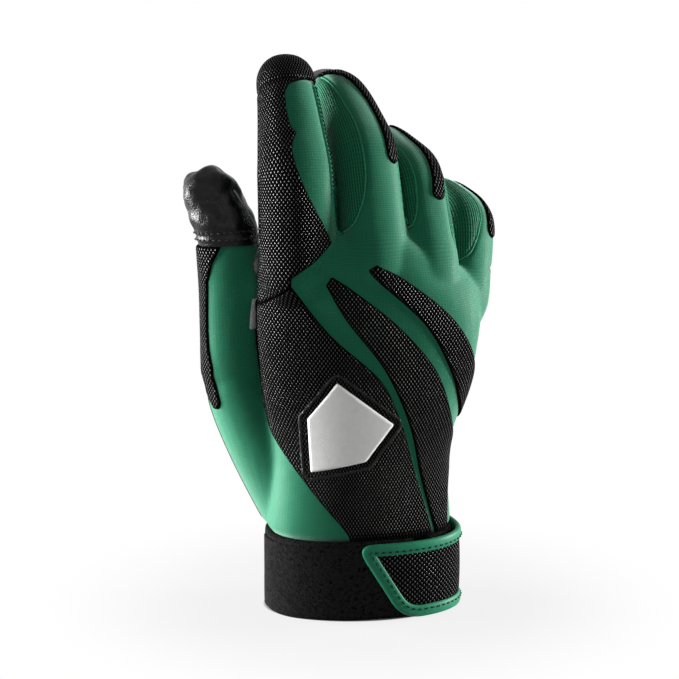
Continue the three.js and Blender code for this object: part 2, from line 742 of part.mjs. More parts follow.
const firstLayer = overlayLayer(SKIN_GAP, OVERLAY_WALL);
const OVERLAYS = {
  main_back_overlay: [
    [[-0.9, 98], [-0.48, 79], [-0.01, 62], [0.27, 45], [0.46, 29], [0.6, 13], [0.66, OVERLAY_FLOOR]],
    [[-0.22, OVERLAY_FLOOR], [-0.36, 10], [-0.76, 26], [-0.97, 36], [-1.1, 56], [-1.12, 94]],
  ],
  inner_stripe_overlay: [
    [
      [-0.53, 102], [-0.42, 99.5], [-0.06, 88], [0.36, 74], [0.7, 54], [0.96, 34], [1.06, 20],
      [1.02, OVERLAY_FLOOR],
    ],
    [[0.76, OVERLAY_FLOOR], [0.57, 22], [0.35, 44], [0.05, 65], [-0.34, 85], [-0.58, 98]],
  ],
  outer_stripe_overlay: [
    [[-0.14, 106.5], [-0.03, 105], [0.4, 91.5], [0.75, 79], [1.02, 64], [1.1, 40]],
    [[1.04, 38], [0.86, 53], [0.58, 74], [0.14, 90], [-0.1, 99], [-0.2, 104]],
  ],
  index_hand_overlay: [
    [[-0.88, 99.6], [-0.72, 106.5], [-0.6, 113.5]],
    [[-0.72, 117], [-1.12, 117]],
    [[-1.14, 108], [-1.1, 96]],
  ],
};
for (const [name, sides] of Object.entries(OVERLAYS)) {
  const piece = firstLayer.intersect(prism(handOutline(sides), OVERLAY_EDGE_Y));
  addPiece(name, bodyOf(piece.subtract(gussetClear)), "black_weave");
}

// A plain embroidered home plate fills the badge place on the main overlay.
const badgeSection = handSection(CUFF_HEIGHT + BADGE_CENTRE.height);
const badgeMiddle = new THREE.Vector2(
  badgeSection.x + BADGE_CENTRE.share * badgeSection.halfWidth,
  CUFF_HEIGHT + BADGE_CENTRE.height,
);
const badgePoints = [[-0.5, 0.5], [-0.5, 0], [0, -0.5], [0.5, 0], [0.5, 0.5]].map(
  ([x, y]) => new THREE.Vector2(x * BADGE_SIZE, y * BADGE_SIZE).add(badgeMiddle),
);
const secondLayer = overlayLayer(2 * SKIN_GAP + OVERLAY_WALL, OVERLAY_WALL);
addPiece("badge_patch", bodyOf(secondLayer.intersect(prism(badgePoints, OVERLAY_EDGE_Y))), "white_thread");

// Cuff: a band with a slit under the strap, and the loop patch that the strap grips.
function cuffRing(offset, from, to) {
  return solidOf(loft([handRing(from, offset), handRing((from + to) / 2, offset), handRing(to, offset)]));
}

function cuffLayer(from, to, low, high) {
  return cuffRing(to, low, high).subtract(cuffRing(from, low - CUT_LEAD, high + CUT_LEAD));
}

const cuffSection = handSection(CUFF_HEIGHT / 2);
const slitX = cuffSection.x + SLIT_ACROSS;
const slit = slab(
  new THREE.Vector3(slitX - CUFF_SLIT / 2, -FAR, -FAR),
  new THREE.Vector3(slitX + CUFF_SLIT / 2, 0, FAR),
);
const band = cuffLayer(CUFF_PROUD - CUFF_WALL, CUFF_PROUD, 0, CUFF_HEIGHT);
addPiece("cuff_band", bodyOf(band.subtract(slit)), "black_loop");

const loopFrom = CUFF_PROUD + SKIN_GAP;
const loopTo = loopFrom + LOOP_WALL;
const loopRight = slitX - CUFF_SLIT / 2 - LOOP_CLEAR;
const loopArea = slab(
  new THREE.Vector3(-FAR, -FAR, -FAR),
  new THREE.Vector3(loopRight, 0, FAR),
);
const loopPatch = cuffLayer(loopFrom, loopTo, STRAP_EDGE_CLEAR, CUFF_HEIGHT - STRAP_EDGE_CLEAR);
addPiece("cuff_loop_patch", bodyOf(loopPatch.intersect(loopArea)), "black_loop");

// Strap: a woven tab with a bound edge and a hook patch, hinged where it is sewn to the cuff.
const strapLow = STRAP_EDGE_CLEAR;
const strapHigh = CUFF_HEIGHT - SKIN_GAP;
const tabX = -STRAP_TAB_REACH;
const strapRight = cuffSection.x + cuffSection.halfWidth + 2 * STRAP_WALL + CUFF_WALL + CUFF_SLIT;
function strapOutline(inset, rightInset) {
  const low = strapLow + inset;
  const high = strapHigh - inset;
  const slant = STRAP_TAB_SLANT / (strapHigh - strapLow - STRAP_CORNER);
  const left = tabX + inset * Math.hypot(1, slant);
  const shoulder = high - STRAP_CORNER;
  const toe = low + STRAP_CORNER_CUT;
  return [
    new THREE.Vector2(left + STRAP_CORNER_CUT, high),
    new THREE.Vector2(left, (high + shoulder) / 2),
    new THREE.Vector2(left, shoulder),
    new THREE.Vector2(left + slant * (shoulder - toe), toe),
    new THREE.Vector2(left + slant * (shoulder - low) + STRAP_CORNER_CUT, low),
    new THREE.Vector2(strapRight - rightInset, low),
    new THREE.Vector2(strapRight - rightInset, high),
  ];
}
const hookFrom = loopTo + SEAM_GAP;
const strapFrom = hookFrom + HOOK_WALL + SKIN_GAP;
const strapTo = strapFrom + STRAP_WALL;
const strapLayer = cuffLayer(strapFrom, strapTo, 0, CUFF_HEIGHT);
const boundLayer = cuffLayer(strapFrom, strapTo + BINDING_PROUD, 0, CUFF_HEIGHT);
const hookLayer = cuffLayer(hookFrom, hookFrom + HOOK_WALL, 0, CUFF_HEIGHT);
const inside = prism(strapOutline(BINDING_WIDTH, -CUT_LEAD), STRAP_ROOT_Y);
const panel = prism(strapOutline(BINDING_WIDTH + SKIN_GAP, 0), STRAP_ROOT_Y);
const whole = prism(strapOutline(0, 0), STRAP_ROOT_Y);
addPiece("strap_panel", bodyOf(strapLayer.intersect(panel)), "black_weave");
addPiece("strap_binding", bodyOf(boundLayer.intersect(whole).subtract(inside)), "green_binding");
const hookOutline = prism(strapOutline(BINDING_WIDTH, 0), STRAP_ROOT_Y);
addPiece("strap_hook_patch", bodyOf(hookLayer.intersect(hookOutline).intersect(loopArea)), "black_loop");
hinges.push({
  name: "strap_peel",
  origin: new THREE.Vector3(cuffSection.x + cuffSection.halfWidth + strapFrom, STRAP_ROOT_Y, CUFF_HEIGHT / 2),
  axis: Z_AXIS.clone(),
});

// The glove stands on its cuff, with the origin in the middle of its footprint.
const bounds = new THREE.Box3().setFromObject(glove);
const middleOfBox = bounds.getCenter(new THREE.Vector3());
glove.position.set(-middleOfBox.x, -middleOfBox.y, -bounds.min.z);
glove.userData.hinges = hinges.map(({ name, origin, axis }) => ({
  name,
  origin: origin.clone().add(glove.position).toArray(),
  axis: axis.toArray(),
}));

export default glove;
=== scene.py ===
# %% [markdown]
# # A right-hand batting glove
# The glove stands on its cuff with its fingers in a relaxed curl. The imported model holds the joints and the
# real sizes. This lesson dresses it: one smooth hand form is cut along the real seams into knit, mesh and
# leather panels, and woven overlays, piping, stitches, the cuff and the strap are built on top.

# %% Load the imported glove
import math

import bpy
import numpy as np
from mathutils import Matrix, Vector, kdtree, noise


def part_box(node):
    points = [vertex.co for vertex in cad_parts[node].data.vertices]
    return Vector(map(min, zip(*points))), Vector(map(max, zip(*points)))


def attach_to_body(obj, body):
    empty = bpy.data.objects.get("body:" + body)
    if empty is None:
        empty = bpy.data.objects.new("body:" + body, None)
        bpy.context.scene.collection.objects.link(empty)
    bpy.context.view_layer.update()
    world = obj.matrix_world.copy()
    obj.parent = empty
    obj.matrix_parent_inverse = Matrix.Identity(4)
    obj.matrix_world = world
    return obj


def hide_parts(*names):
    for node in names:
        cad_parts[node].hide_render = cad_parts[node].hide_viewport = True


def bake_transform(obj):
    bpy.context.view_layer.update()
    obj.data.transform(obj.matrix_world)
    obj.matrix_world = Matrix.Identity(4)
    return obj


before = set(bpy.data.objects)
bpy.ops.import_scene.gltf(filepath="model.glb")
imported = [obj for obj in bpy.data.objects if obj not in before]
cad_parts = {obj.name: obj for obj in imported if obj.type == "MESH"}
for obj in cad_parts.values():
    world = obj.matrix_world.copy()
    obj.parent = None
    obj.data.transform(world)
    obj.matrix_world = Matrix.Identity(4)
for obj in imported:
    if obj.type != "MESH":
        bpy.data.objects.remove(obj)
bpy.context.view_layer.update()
MM = 0.001

# %% [markdown]
# Every length below is in millimetres, measured from the wrist: X to the little finger, Y to the palm and Z
# up the hand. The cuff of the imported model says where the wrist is, so nothing has to be fitted by eye.

# %% Find the wrist
CUFF_LOW, CUFF_HIGH = (np.array(corner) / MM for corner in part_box("cuff_band"))
CUFF_HEIGHT = CUFF_HIGH[2] - CUFF_LOW[2]
WRIST_SHIFT = -1.5
ORIGIN = np.array([(CUFF_LOW[0] + CUFF_HIGH[0]) / 2 - WRIST_SHIFT, (CUFF_LOW[1] + CUFF_HIGH[1]) / 2, 0.0])
print("wrist at", np.round(ORIGIN, 2), "cuff height", round(CUFF_HEIGHT, 2))

# %% [markdown]
# The picture was taken from a long way off with a long lens, a little to the thumb side and from above. The
# scale of the picture gives the lens: so many millimetres of glove to one pixel at the glove's distance.

# %% Place the camera
PICTURE_PIXELS = 679
MM_PER_PIXEL = 0.38
VIEW_DISTANCE = 1200.0
VIEW_AZIMUTH = math.radians(-10)
VIEW_ELEVATION = math.radians(13)
AIM_HEIGHT = 97.0
AIM_PIXEL = (362, 356)
SENSOR_MM = 36.0

VIEW_BACK = np.array([
    math.sin(VIEW_AZIMUTH) * math.cos(VIEW_ELEVATION),
    -math.cos(VIEW_AZIMUTH) * math.cos(VIEW_ELEVATION),
    math.sin(VIEW_ELEVATION),
])
VIEW_RIGHT = np.array([math.cos(VIEW_AZIMUTH), math.sin(VIEW_AZIMUTH), 0.0])
VIEW_UP = np.cross(VIEW_BACK, VIEW_RIGHT)


def place_camera():
    centre = PICTURE_PIXELS / 2
    aim = ORIGIN + np.array([0, 0, AIM_HEIGHT])
    aim = aim - VIEW_RIGHT * (AIM_PIXEL[0] - centre) * MM_PER_PIXEL
    aim = aim + VIEW_UP * (AIM_PIXEL[1] - centre) * MM_PER_PIXEL
    data = bpy.data.cameras.new("camera")
    data.sensor_width = SENSOR_MM
    data.lens = VIEW_DISTANCE / MM_PER_PIXEL * SENSOR_MM / PICTURE_PIXELS
    camera = bpy.data.objects.new("camera", data)
    bpy.context.scene.collection.objects.link(camera)
    turn = Matrix([VIEW_RIGHT, VIEW_UP, VIEW_BACK]).transposed()
    camera.matrix_world = Matrix.Translation((aim + VIEW_BACK * VIEW_DISTANCE) * MM) @ turn.to_4x4()
    bpy.context.scene.camera = camera
    return camera


camera = place_camera()
print("lens", round(camera.data.lens, 1), "mm")

# %% [markdown]
# A glove takes its shape from the hand. The hand is a stack of rounded sections from the wrist to the roots
# of the fingers, and each finger is a tube along a line that bends at its three knuckles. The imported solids
# have sections and bends like these, so the dressed glove lies where they are.

# %% Shape helpers
TURN = 2 * math.pi


def smooth(t):
    k = np.clip(t, 0.0, 1.0)
    return k * k * (3.0 - 2.0 * k)


def unit(vectors):
    return vectors / np.linalg.norm(vectors, axis=-1, keepdims=True)


def flow(knots, places):
    """A smooth curve through knots, each of which is a place followed by values."""
    knots = np.array(knots, float)
    known, values = knots[:, 0], knots[:, 1:]
    slopes = np.gradient(values, known, axis=0)
    places = np.clip(np.atleast_1d(places), known[0], known[-1])
    low = np.clip(np.searchsorted(known, places) - 1, 0, len(known) - 2)
    width = (known[low + 1] - known[low])[:, None]
    k = (places - known[low])[:, None] / width
    bend = k * (1 - k) * ((1 - k) * slopes[low] - k * slopes[low + 1]) * width
    return values[low] + (values[low + 1] - values[low]) * smooth(k) + bend


def between(places, known, rows):
    """Rows of values at some places, from the rows at known places."""
    return np.stack([np.interp(places, known, column) for column in rows.T], -1)


def walk(line):
    """How far along a line each of its points lies."""
    return np.concatenate([[0], np.cumsum(np.linalg.norm(np.diff(line, axis=0), axis=1))])


def all_round(count):
    """Angles at even steps round a circle."""
    return np.linspace(0, TURN, count, endpoint=False)


def rounded(angles, half_width, half_depth, power):
    """Distance from the middle to a rounded outline at some angles."""
    across = np.abs(np.cos(angles) / half_width) ** power
    deep = np.abs(np.sin(angles) / half_depth) ** power
    return (across + deep) ** (-1.0 / power)


def quads(a, b, c, d):
    """Two triangles for every face with four corners."""
    return np.concatenate([np.stack([a, b, c], 1), np.stack([a, c, d], 1)])


def edges_of(triangles):
    return np.concatenate([triangles[:, [0, 1]], triangles[:, [1, 2]], triangles[:, [2, 0]]])


def loft(rings):
    """A closed skin over rings of points: its points and its triangles."""
    rings = np.array(rings)
    rows, count = rings.shape[:2]
    points = np.concatenate([rings.reshape(-1, 3), rings[[0, -1]].mean(axis=1)])
    here = np.arange(count)
    after = (here + 1) % count
    triangles = []
    for row in range(rows - 1):
        a, b = row * count + here, row * count + after
        triangles.append(quads(a, b, b + count, a + count))
    first, last = rows * count, rows * count + 1
    end = (rows - 1) * count
    triangles.append(np.stack([np.full(count, first), after, here], 1))
    triangles.append(np.stack([np.full(count, last), end + here, end + after], 1))
    return points, np.concatenate(triangles)


def joined(shapes):
    """Several shapes as one: all their points, and their triangles counted on."""
    starts = np.cumsum([0] + [len(points) for points, _ in shapes[:-1]])
    triangles = [some + start for (_, some), start in zip(shapes, starts)]
    return np.concatenate([points for points, _ in shapes]), np.concatenate(triangles)


def tree_of(points):
    """A tree that finds the nearest of some points."""
    tree = kdtree.KDTree(len(points))
    for number, point in enumerate(points):
        tree.insert(point, number)
    tree.balance()
    return tree


print("angles at four sides:", np.degrees(all_round(4)))

# %% The hand's sections
KNUCKLE_HEIGHT = CUFF_HEIGHT + 98.0
HAND_POWER = 2.4
HAND_SIDES = 72
CROTCH_RISE = 18.0
CROTCH_DROP = 21.0
CROTCH_DROP_FROM = 8.0
CROTCH_DROP_LEAD = 30.0
CROTCH_DROP_WIDTH = 43.5
HAND_TOP = KNUCKLE_HEIGHT + CROTCH_RISE
HAND_ROWS = 60
SLEEVE_DEPTH = 12.0
ROUND_FROM = 6.0
# The rounded top edge: how far below the top, and how far inwards.
TOP_ROUNDING = ((3.5, 0.8), (1.5, 2.4), (0, 5))
# Height, place across, place deep, width and depth.
HAND_SECTIONS = [
    (0, WRIST_SHIFT, 0, 71, 48),
    (CUFF_HEIGHT, WRIST_SHIFT, 0, 71, 48),
    (CUFF_HEIGHT + 32.3, -0.6, 0, 68, 42),
    (CUFF_HEIGHT + 58.8, 2.2, 0, 80, 39),
    (KNUCKLE_HEIGHT - 10, 3.2, 0, 85, 35),
    (KNUCKLE_HEIGHT + 5, 3.7, 1.5, 83.4, 33),
    (HAND_TOP, 5, 4, 80, 26),
]


def hand_ring(height, inward=0.0):
    across, deep, width, depth = flow(HAND_SECTIONS, height)[0]
    angles = all_round(HAND_SIDES)
    reach = rounded(angles, width / 2 - inward, depth / 2 - inward, HAND_POWER)
    x = across + reach * np.cos(angles)
    share = smooth((height - KNUCKLE_HEIGHT + CROTCH_DROP_LEAD) / (CROTCH_RISE + CROTCH_DROP_LEAD))
    drop = CROTCH_DROP * share * smooth((x - CROTCH_DROP_FROM) / CROTCH_DROP_WIDTH)
    return np.stack([x, deep + reach * np.sin(angles), height - drop], 1)


def hand_rings():
    heights = np.linspace(CUFF_HEIGHT - SLEEVE_DEPTH, HAND_TOP - ROUND_FROM, HAND_ROWS)
    rings = [hand_ring(z) for z in heights]
    return rings + [hand_ring(HAND_TOP - below, inward) for below, inward in TOP_ROUNDING]


print("hand rings:", len(hand_rings()))

# %% The fingers' lines
BEND_REACH = 9.0
ROOT_DEPTH = 14.0
ROOT_TAPER = 0.65
FULL_WIDTH_FROM = 2.0
# The share of the round tip that has a width of its own.
TIP_LIMIT = 0.999
LINE_STEP = 0.5
LINE_OVERRUN = 4.0
FINGER_POWER = 2.3
FINGER_FLATNESS = 0.92
FINGER_SIDES = 40
RING_STEP = 1.5
TIP_RINGS = 14
TIP_CLOSE = 88
CHART_BATCH = 4000


class Digit:
    """A finger or thumb: a line that bends at its knuckles, with a frame and a width at each place."""

    def __init__(self, place, fan, roll, bones, curl, widths, sway=0.0):
        lean, turn = math.radians(fan), math.radians(roll)
        level = math.cos(lean)
        self.side = np.array([level * math.cos(turn), level * math.sin(turn), -math.sin(lean)])
        straight = np.array([math.sin(lean), 0, math.cos(lean)])
        straight = unit(straight - self.side * straight.dot(self.side))
        self.length = sum(bones)
        self.knuckles = (0.0, bones[0], bones[0] + bones[1])
        self.widths = widths
        self.places = np.arange(-ROOT_DEPTH, self.length + LINE_OVERRUN, LINE_STEP)
        past = [smooth((self.places - knuckle) / (2 * BEND_REACH) + 0.5) for knuckle in self.knuckles]
        bend = sum(angle * share for angle, share in zip(curl, past))
        bend = np.radians(bend)[:, None]
        self.forward = straight * np.cos(bend) - np.cross(self.side, straight) * np.sin(bend)
        self.back = np.cross(self.side, self.forward)
        middles = (self.forward[1:] + self.forward[:-1]) / 2
        walked = np.concatenate([np.zeros((1, 3)), np.cumsum(middles * LINE_STEP, axis=0)])
        self.line = walked - walked[np.searchsorted(self.places, 0.0)] + np.array(place, float)
        lean_share = smooth((self.places - bones[0]) / (self.length - bones[0]))[:, None]
        self.line = self.line + self.side * sway * lean_share

    def half(self, s):
        """Half the width of the finger at some places along it, round at its tip."""
        tip = self.widths[3] / 2
        ends = (0.0, self.knuckles[1], self.knuckles[2], self.length - tip)
        full = np.interp(s, ends, self.widths) / 2
        past = np.clip((s - ends[3]) / tip, 0.0, TIP_LIMIT)
        root = ROOT_TAPER + (1 - ROOT_TAPER) * smooth((s + ROOT_DEPTH) / (ROOT_DEPTH + FULL_WIDTH_FROM))
        return full * root * np.sqrt(1 - past * past)

    def at(self, s):
        """The point on the line at a place along it."""
        return between(s, self.places, self.line)

    def frame_at(self, s):
        i = int(np.clip(np.searchsorted(self.places, s), 0, len(self.places) - 1))
        return self.forward[i], self.back[i]

    def rings(self):
        tip_turns = np.radians(np.linspace(0, TIP_CLOSE, TIP_RINGS))
        tip = self.widths[3] / 2
        ends = self.length - tip + tip * np.sin(tip_turns)
        stops = np.concatenate([np.arange(-ROOT_DEPTH, ends[0], RING_STEP), ends])
        angles = all_round(FINGER_SIDES)
        rings = []
        for s in stops:
            half = float(self.half(s))
            reach = rounded(angles, half, half * FINGER_FLATNESS, FINGER_POWER)[:, None]
            back = self.frame_at(s)[1]
            out = self.side * np.cos(angles)[:, None] + back * np.sin(angles)[:, None]
            rings.append(self.at(s) + reach * out)
        return rings

    def chart(self, points):
        """Where points lie: how far along, how far to the little-finger side, how far to the back."""
        nearest = np.zeros(len(points), int)
        for start in range(0, len(points), CHART_BATCH):
            batch = slice(start, start + CHART_BATCH)
            nearest[batch] = ((points[batch, None] - self.line[None]) ** 2).sum(2).argmin(1)
        away = points - self.line[nearest]
        along = self.places[nearest] + (away * self.forward[nearest]).sum(1)
        return along, away @ self.side, (away * self.back[nearest]).sum(1)


# Place of the root, lean, roll, lengths of the bones, bends at the knuckles, widths, and sway of the tip.
DIGITS = {
    "index": Digit((-23.8, -3, 127), -0.6, 3, (42, 25, 20), (8, 18, 12), (28.4, 26.4, 21.2, 19.4)),
    "middle": Digit((4.2, -6, 130), 2.4, 14, (46, 29, 21), (22, 31, 32), (24.6, 24.4, 20.2, 17)),
    "ring": Digit((26, -3, 127), 6.5, 20, (40, 27, 20), (30, 46, 24), (20.6, 20.2, 17.8, 16.2)),
    "pinky": Digit((41.2, 5, 115), 17.5, 24, (32.5, 21, 18), (30, 50, 24), (17, 19.4, 16.8, 14.8)),
    "thumb": Digit((-45.8, 17, 88), -2.5, -6, (48, 15, 17.5), (0, 6, 0), (25.6, 23, 22.6, 21), -7.0),
}
FINGERS = ("index", "middle", "ring", "pinky")
DIGIT_NAMES = list(DIGITS)
print("finger lengths:", {name: digit.length for name, digit in DIGITS.items()})

# %% The thumb's root
# Place along the root, its middle, and its radius.
THUMB_ROOT = [
    (0, -20, 7, 33, 16),
    (1, -34, 12, 58, 14.6),
    (2, -42.8, 16, 78, 13.8),
    (3, -45.8, 17, 88, 12.2),
]
ROOT_ROWS = 24


def thumb_root_rings():
    knots = flow(THUMB_ROOT, np.linspace(0, len(THUMB_ROOT) - 1, ROOT_ROWS))
    line, radius = knots[:, :3], knots[:, 3]
    forward = unit(np.gradient(line, axis=0))
    side = unit(DIGITS["thumb"].side - forward * (forward @ DIGITS["thumb"].side)[:, None])
    back = np.cross(side, forward)
    angles = all_round(FINGER_SIDES)[:, None]
    return [
        line[i] + radius[i] * (side[i] * np.cos(angles) + back[i] * np.sin(angles))
        for i in range(ROOT_ROWS)
    ]


print("thumb root rings:", len(thumb_root_rings()))

# %% [markdown]
# Joining the hand and the fingers leaves sharp creases where they meet, and cloth never creases like that.
# A voxel remesh turns the joined tubes into one skin, and some rounds of smoothing let the skin bridge the
# corners between the fingers as stretched cloth does.

# %% One skin over the hand and fingers
VOXEL = 0.9
SMOOTH_ROUNDS = 14
SMOOTH_SHARE = 0.5


def mesh_of(name, points, triangles):
    mesh = bpy.data.meshes.new(name)
    mesh.from_pydata(((points + ORIGIN) * MM).tolist(), [], triangles.tolist())
    mesh.update()
    return mesh


def make_form():
    parts = [hand_rings(), thumb_root_rings()] + [digit.rings() for digit in DIGITS.values()]
    tubes = joined([loft(rings) for rings in parts])
    form = bpy.data.objects.new("hand_form", mesh_of("hand_form", *tubes))
    bpy.context.scene.collection.objects.link(form)
    remesh = form.modifiers.new("one_skin", "REMESH")
    remesh.mode = "VOXEL"
    remesh.voxel_size = VOXEL * MM
    rounding = form.modifiers.new("soft_corners", "SMOOTH")
    rounding.iterations = SMOOTH_ROUNDS
    rounding.factor = SMOOTH_SHARE
    final = form.evaluated_get(bpy.context.evaluated_depsgraph_get()).to_mesh()
    final.calc_loop_triangles()
    skin = np.zeros(len(final.vertices) * 3)
    final.vertices.foreach_get("co", skin)
    faces = np.zeros(len(final.loop_triangles) * 3, np.int32)
    final.loop_triangles.foreach_get("vertices", faces)
    bpy.data.objects.remove(form)
    return skin.reshape(-1, 3) / MM - ORIGIN, faces.reshape(-1, 3)


FORM_POINTS, FORM_TRIANGLES = make_form()
print("skin:", len(FORM_POINTS), "points", len(FORM_TRIANGLES), "triangles")

# %% [markdown]
# Smoothing shrinks a round tube a little, so the skin is swelled back along its normals. Its lowest edge is
# drawn in, because the knit is sewn inside the cuff.

# %% Swell the skin and tuck it into the cuff
SWELL = 0.6
SWELL_FROM = KNUCKLE_HEIGHT - 10
SWELL_OVER = 20.0
TUCK_DEPTH = 2.6
TUCK_HEIGHT = 3.5
TUCKED_UNDER = 2.5


def vertex_normals(points, triangles):
    a, b, c = (points[triangles[:, i]] for i in range(3))
    face = np.cross(b - a, c - a)
    total = np.zeros_like(points)
    for i in range(3):
        for axis in range(3):
            total[:, axis] += np.bincount(triangles[:, i], face[:, axis], len(points))
    return unit(total + 1e-12)


def tuck(heights):
    return TUCK_DEPTH * smooth((CUFF_HEIGHT + TUCK_HEIGHT - heights) / (TUCK_HEIGHT + 1))


FORM_NORMALS = vertex_normals(FORM_POINTS, FORM_TRIANGLES)
finger_share = smooth((FORM_POINTS[:, 2] - SWELL_FROM) / SWELL_OVER)
FORM_POINTS = FORM_POINTS + FORM_NORMALS * (SWELL * finger_share - tuck(FORM_POINTS[:, 2]))[:, None]
print("highest point", FORM_POINTS[:, 2].max().round(1))

# %% [markdown]
# A glove is cut flat and sewn round. To cut our skin the same way, each point gets a flat place on every
# finger: how far along the finger it lies and at which angle round it. Angle 0 is the little-finger side, 90
# the back, 180 the thumb side and 270 the palm. Seam lines can then be drawn on paper, as a pattern cutter
# draws them, and a cut splits the triangles exactly along the line.

# %% A skin that can be cut
EDGE_MARGIN = 0.08
FAR_AWAY = 9.0
TOP_FADE = 8.0


class Skin:
    """A sheet of triangles with named values at its points, which can be cut along a line."""

    def __init__(self, points, triangles, values):
        self.points, self.triangles, self.values = points, triangles, values

    def cut(self, field):
        """Split the triangles along the line where a value at the points passes zero."""
        above = (field > 0)[self.triangles]
        count = above.sum(axis=1)
        crossed = (count == 1) | (count == 2)
        lone = np.where(count == 1, above.argmax(1), (~above).argmax(1))[crossed]
        turned = (lone[:, None] + np.arange(3)) % 3
        p, q, r = np.take_along_axis(self.triangles[crossed], turned, 1).T
        edges = np.sort(np.concatenate([np.stack([p, q], 1), np.stack([p, r], 1)]), axis=1)
        unique, place = np.unique(edges, axis=0, return_inverse=True)
        low, high = unique.T
        share = np.clip(field[low] / (field[low] - field[high]), EDGE_MARGIN, 1 - EDGE_MARGIN)[:, None]

        def with_crossings(rows):
            return np.concatenate([rows, rows[low] * (1 - share) + rows[high] * share])

        place = place.ravel() + len(self.points)
        pq, pr = place[:len(p)], place[len(p):]
        self.points = with_crossings(self.points)
        self.values = {name: with_crossings(rows) for name, rows in self.values.items()}
        tips = np.stack([p, pq, pr], 1)
        self.triangles = np.concatenate([self.triangles[~crossed], tips, quads(pq, q, r, pr)])

    def middles(self, name):
        """A named value at the middle of each triangle."""
        return self.values[name][self.triangles].mean(axis=1)


def hand_ratio(points):
    """How far out a point lies from the hand's middle: 1 is on the hand's own surface."""
    sections = flow(HAND_SECTIONS, points[:, 2])
    off = points[:, :2] - sections[:, :2]
    powers = (np.abs(off) / (sections[:, 2:] / 2)) ** HAND_POWER
    return powers.sum(1) ** (1 / HAND_POWER) + np.maximum(points[:, 2] - HAND_TOP, 0) / TOP_FADE


skin = Skin(FORM_POINTS, FORM_TRIANGLES, {})
for name, digit in DIGITS.items():
    skin.values[name] = np.stack(digit.chart(skin.points), 1)
skin.values["hand"] = hand_ratio(skin.points)[:, None]
print("charts:", list(skin.values))

# %% Flat places on the fingers
PALM_CUT = -90.0
ROOT_PLACES = 0.0
SPLINE_STEPS = 6


def angle_of(chart):
    turns = np.degrees(np.arctan2(chart[:, 2], chart[:, 1]))
    return (turns - PALM_CUT) % 360 + PALM_CUT


def ratio_of(name, chart, root=ROOT_PLACES):
    """How far out a point lies from a finger's line: 1 is on the finger's own surface."""
    digit = DIGITS[name]
    shaft = np.minimum(chart[:, 0], digit.length - digit.widths[3] / 2)
    out = np.hypot(chart[:, 1], chart[:, 2] / FINGER_FLATNESS) / np.maximum(digit.half(shaft), 1)
    return np.where(chart[:, 0] < root, np.inf, out)


def flat_width(name):
    return DIGITS[name].widths[1] / 2


def flat_places(name, chart):
    """Unrolled places on a finger: across from the middle of its back, and along it."""
    across = flat_width(name) * np.radians(90 - angle_of(chart))
    return np.stack([across, chart[:, 0]], 1)


def flat_outline(name, corners):
    """Corners given as an angle and a place along the finger, on the same flat sheet."""
    return [(flat_width(name) * math.radians(90 - angle), s) for angle, s in corners]


def to_segments(points, start, end):
    """Distance from flat points to one straight line."""
    along = end - start
    k = np.clip(((points - start) @ along) / along.dot(along), 0, 1)
    return np.linalg.norm(points - start - k[:, None] * along, axis=1)


def outline_distance(points, corners):
    """How far flat points lie outside a closed outline, below zero inside it."""
    corners = np.array(corners, float)
    nearest = np.full(len(points), np.inf)
    inside = np.zeros(len(points), bool)
    for start, end in zip(corners, np.roll(corners, -1, axis=0)):
        nearest = np.minimum(nearest, to_segments(points, start, end))
        spans = (start[1] > points[:, 1]) != (end[1] > points[:, 1])
        rise = end[1] - start[1] if end[1] != start[1] else 1e-9
        crossing = start[0] + (points[:, 1] - start[1]) * (end[0] - start[0]) / rise
        inside ^= spans & (points[:, 0] < crossing)
    return np.where(inside, -nearest, nearest)


def line_distance(points, corners):
    """How far flat points lie from an open line."""
    corners = np.array(corners, float)
    return np.min([to_segments(points, a, b) for a, b in zip(corners[:-1], corners[1:])], axis=0)


def spline(corners):
    """A smooth line through a few corners."""
    last = len(corners) - 1
    knots = np.column_stack([np.arange(last + 1), np.array(corners, float)])
    return flow(knots, np.linspace(0, last, SPLINE_STEPS * last + 1))


print("index flat width", round(flat_width("index") * TURN, 1))

# %% [markdown]
# The fingers are built as on the real glove. A back strip and a palm strip are joined by two side strips: a
# mesh fourchette wherever two fingers face each other. Each side strip starts in a U between the fingers and
# runs to the leather tip cap. The lists give the seam on the back of the finger, from the U to the tip.

# %% Side strips and tip caps
# A point lies on a finger when it is no further out than this, in the finger's own half widths.
FINGER_REACH = 1.6
WIDE_REACH = 1.8
NEIGHBOUR_SHARE = 1.15
U_DEPTH = 6
PALM_SEAM = {"inner": 226, "outer": -46}
CAP_EDGE = {"index": 74, "middle": 82, "ring": 70, "pinky": 55.5, "thumb": 51}
# Angle and place along the finger.
SIDE_SEAMS = {
    ("index", "outer"): [(8, 16.5), (26, 18.5), (34, 24), (34, 50), (34, 76)],
    ("middle", "inner"): [(176, 15.5), (154, 17), (138, 20), (117, 31), (112, 50), (117, 64), (130, 80)],
    ("middle", "outer"): [(8, 17), (24, 19), (32, 26), (34, 50), (34, 82)],
    ("ring", "inner"): [(176, 17.5), (146, 19), (130, 27), (125, 42), (132, 76)],
    ("ring", "outer"): [(6, 9.5), (36, 11), (50, 16), (48, 30), (40, 76)],
    ("pinky", "inner"): [(176, 13.5), (146, 14.5), (121, 17.5), (98, 27), (88, 34), (100, 61)],
    ("pinky", "outer"): [(8, 12), (18, 16), (20, 30), (20, 61)],
}


def side_outline(name, side):
    seam = spline(SIDE_SEAMS[name, side])
    top, bottom = seam[-1][1], seam[0][1]
    palm = [(PALM_SEAM[side], top), (PALM_SEAM[side], bottom + U_DEPTH)]
    return flat_outline(name, list(seam) + palm)


def off_side(name, side, chart):
    """How far points lie outside a side strip, below zero inside it."""
    return outline_distance(flat_places(name, chart), side_outline(name, side))


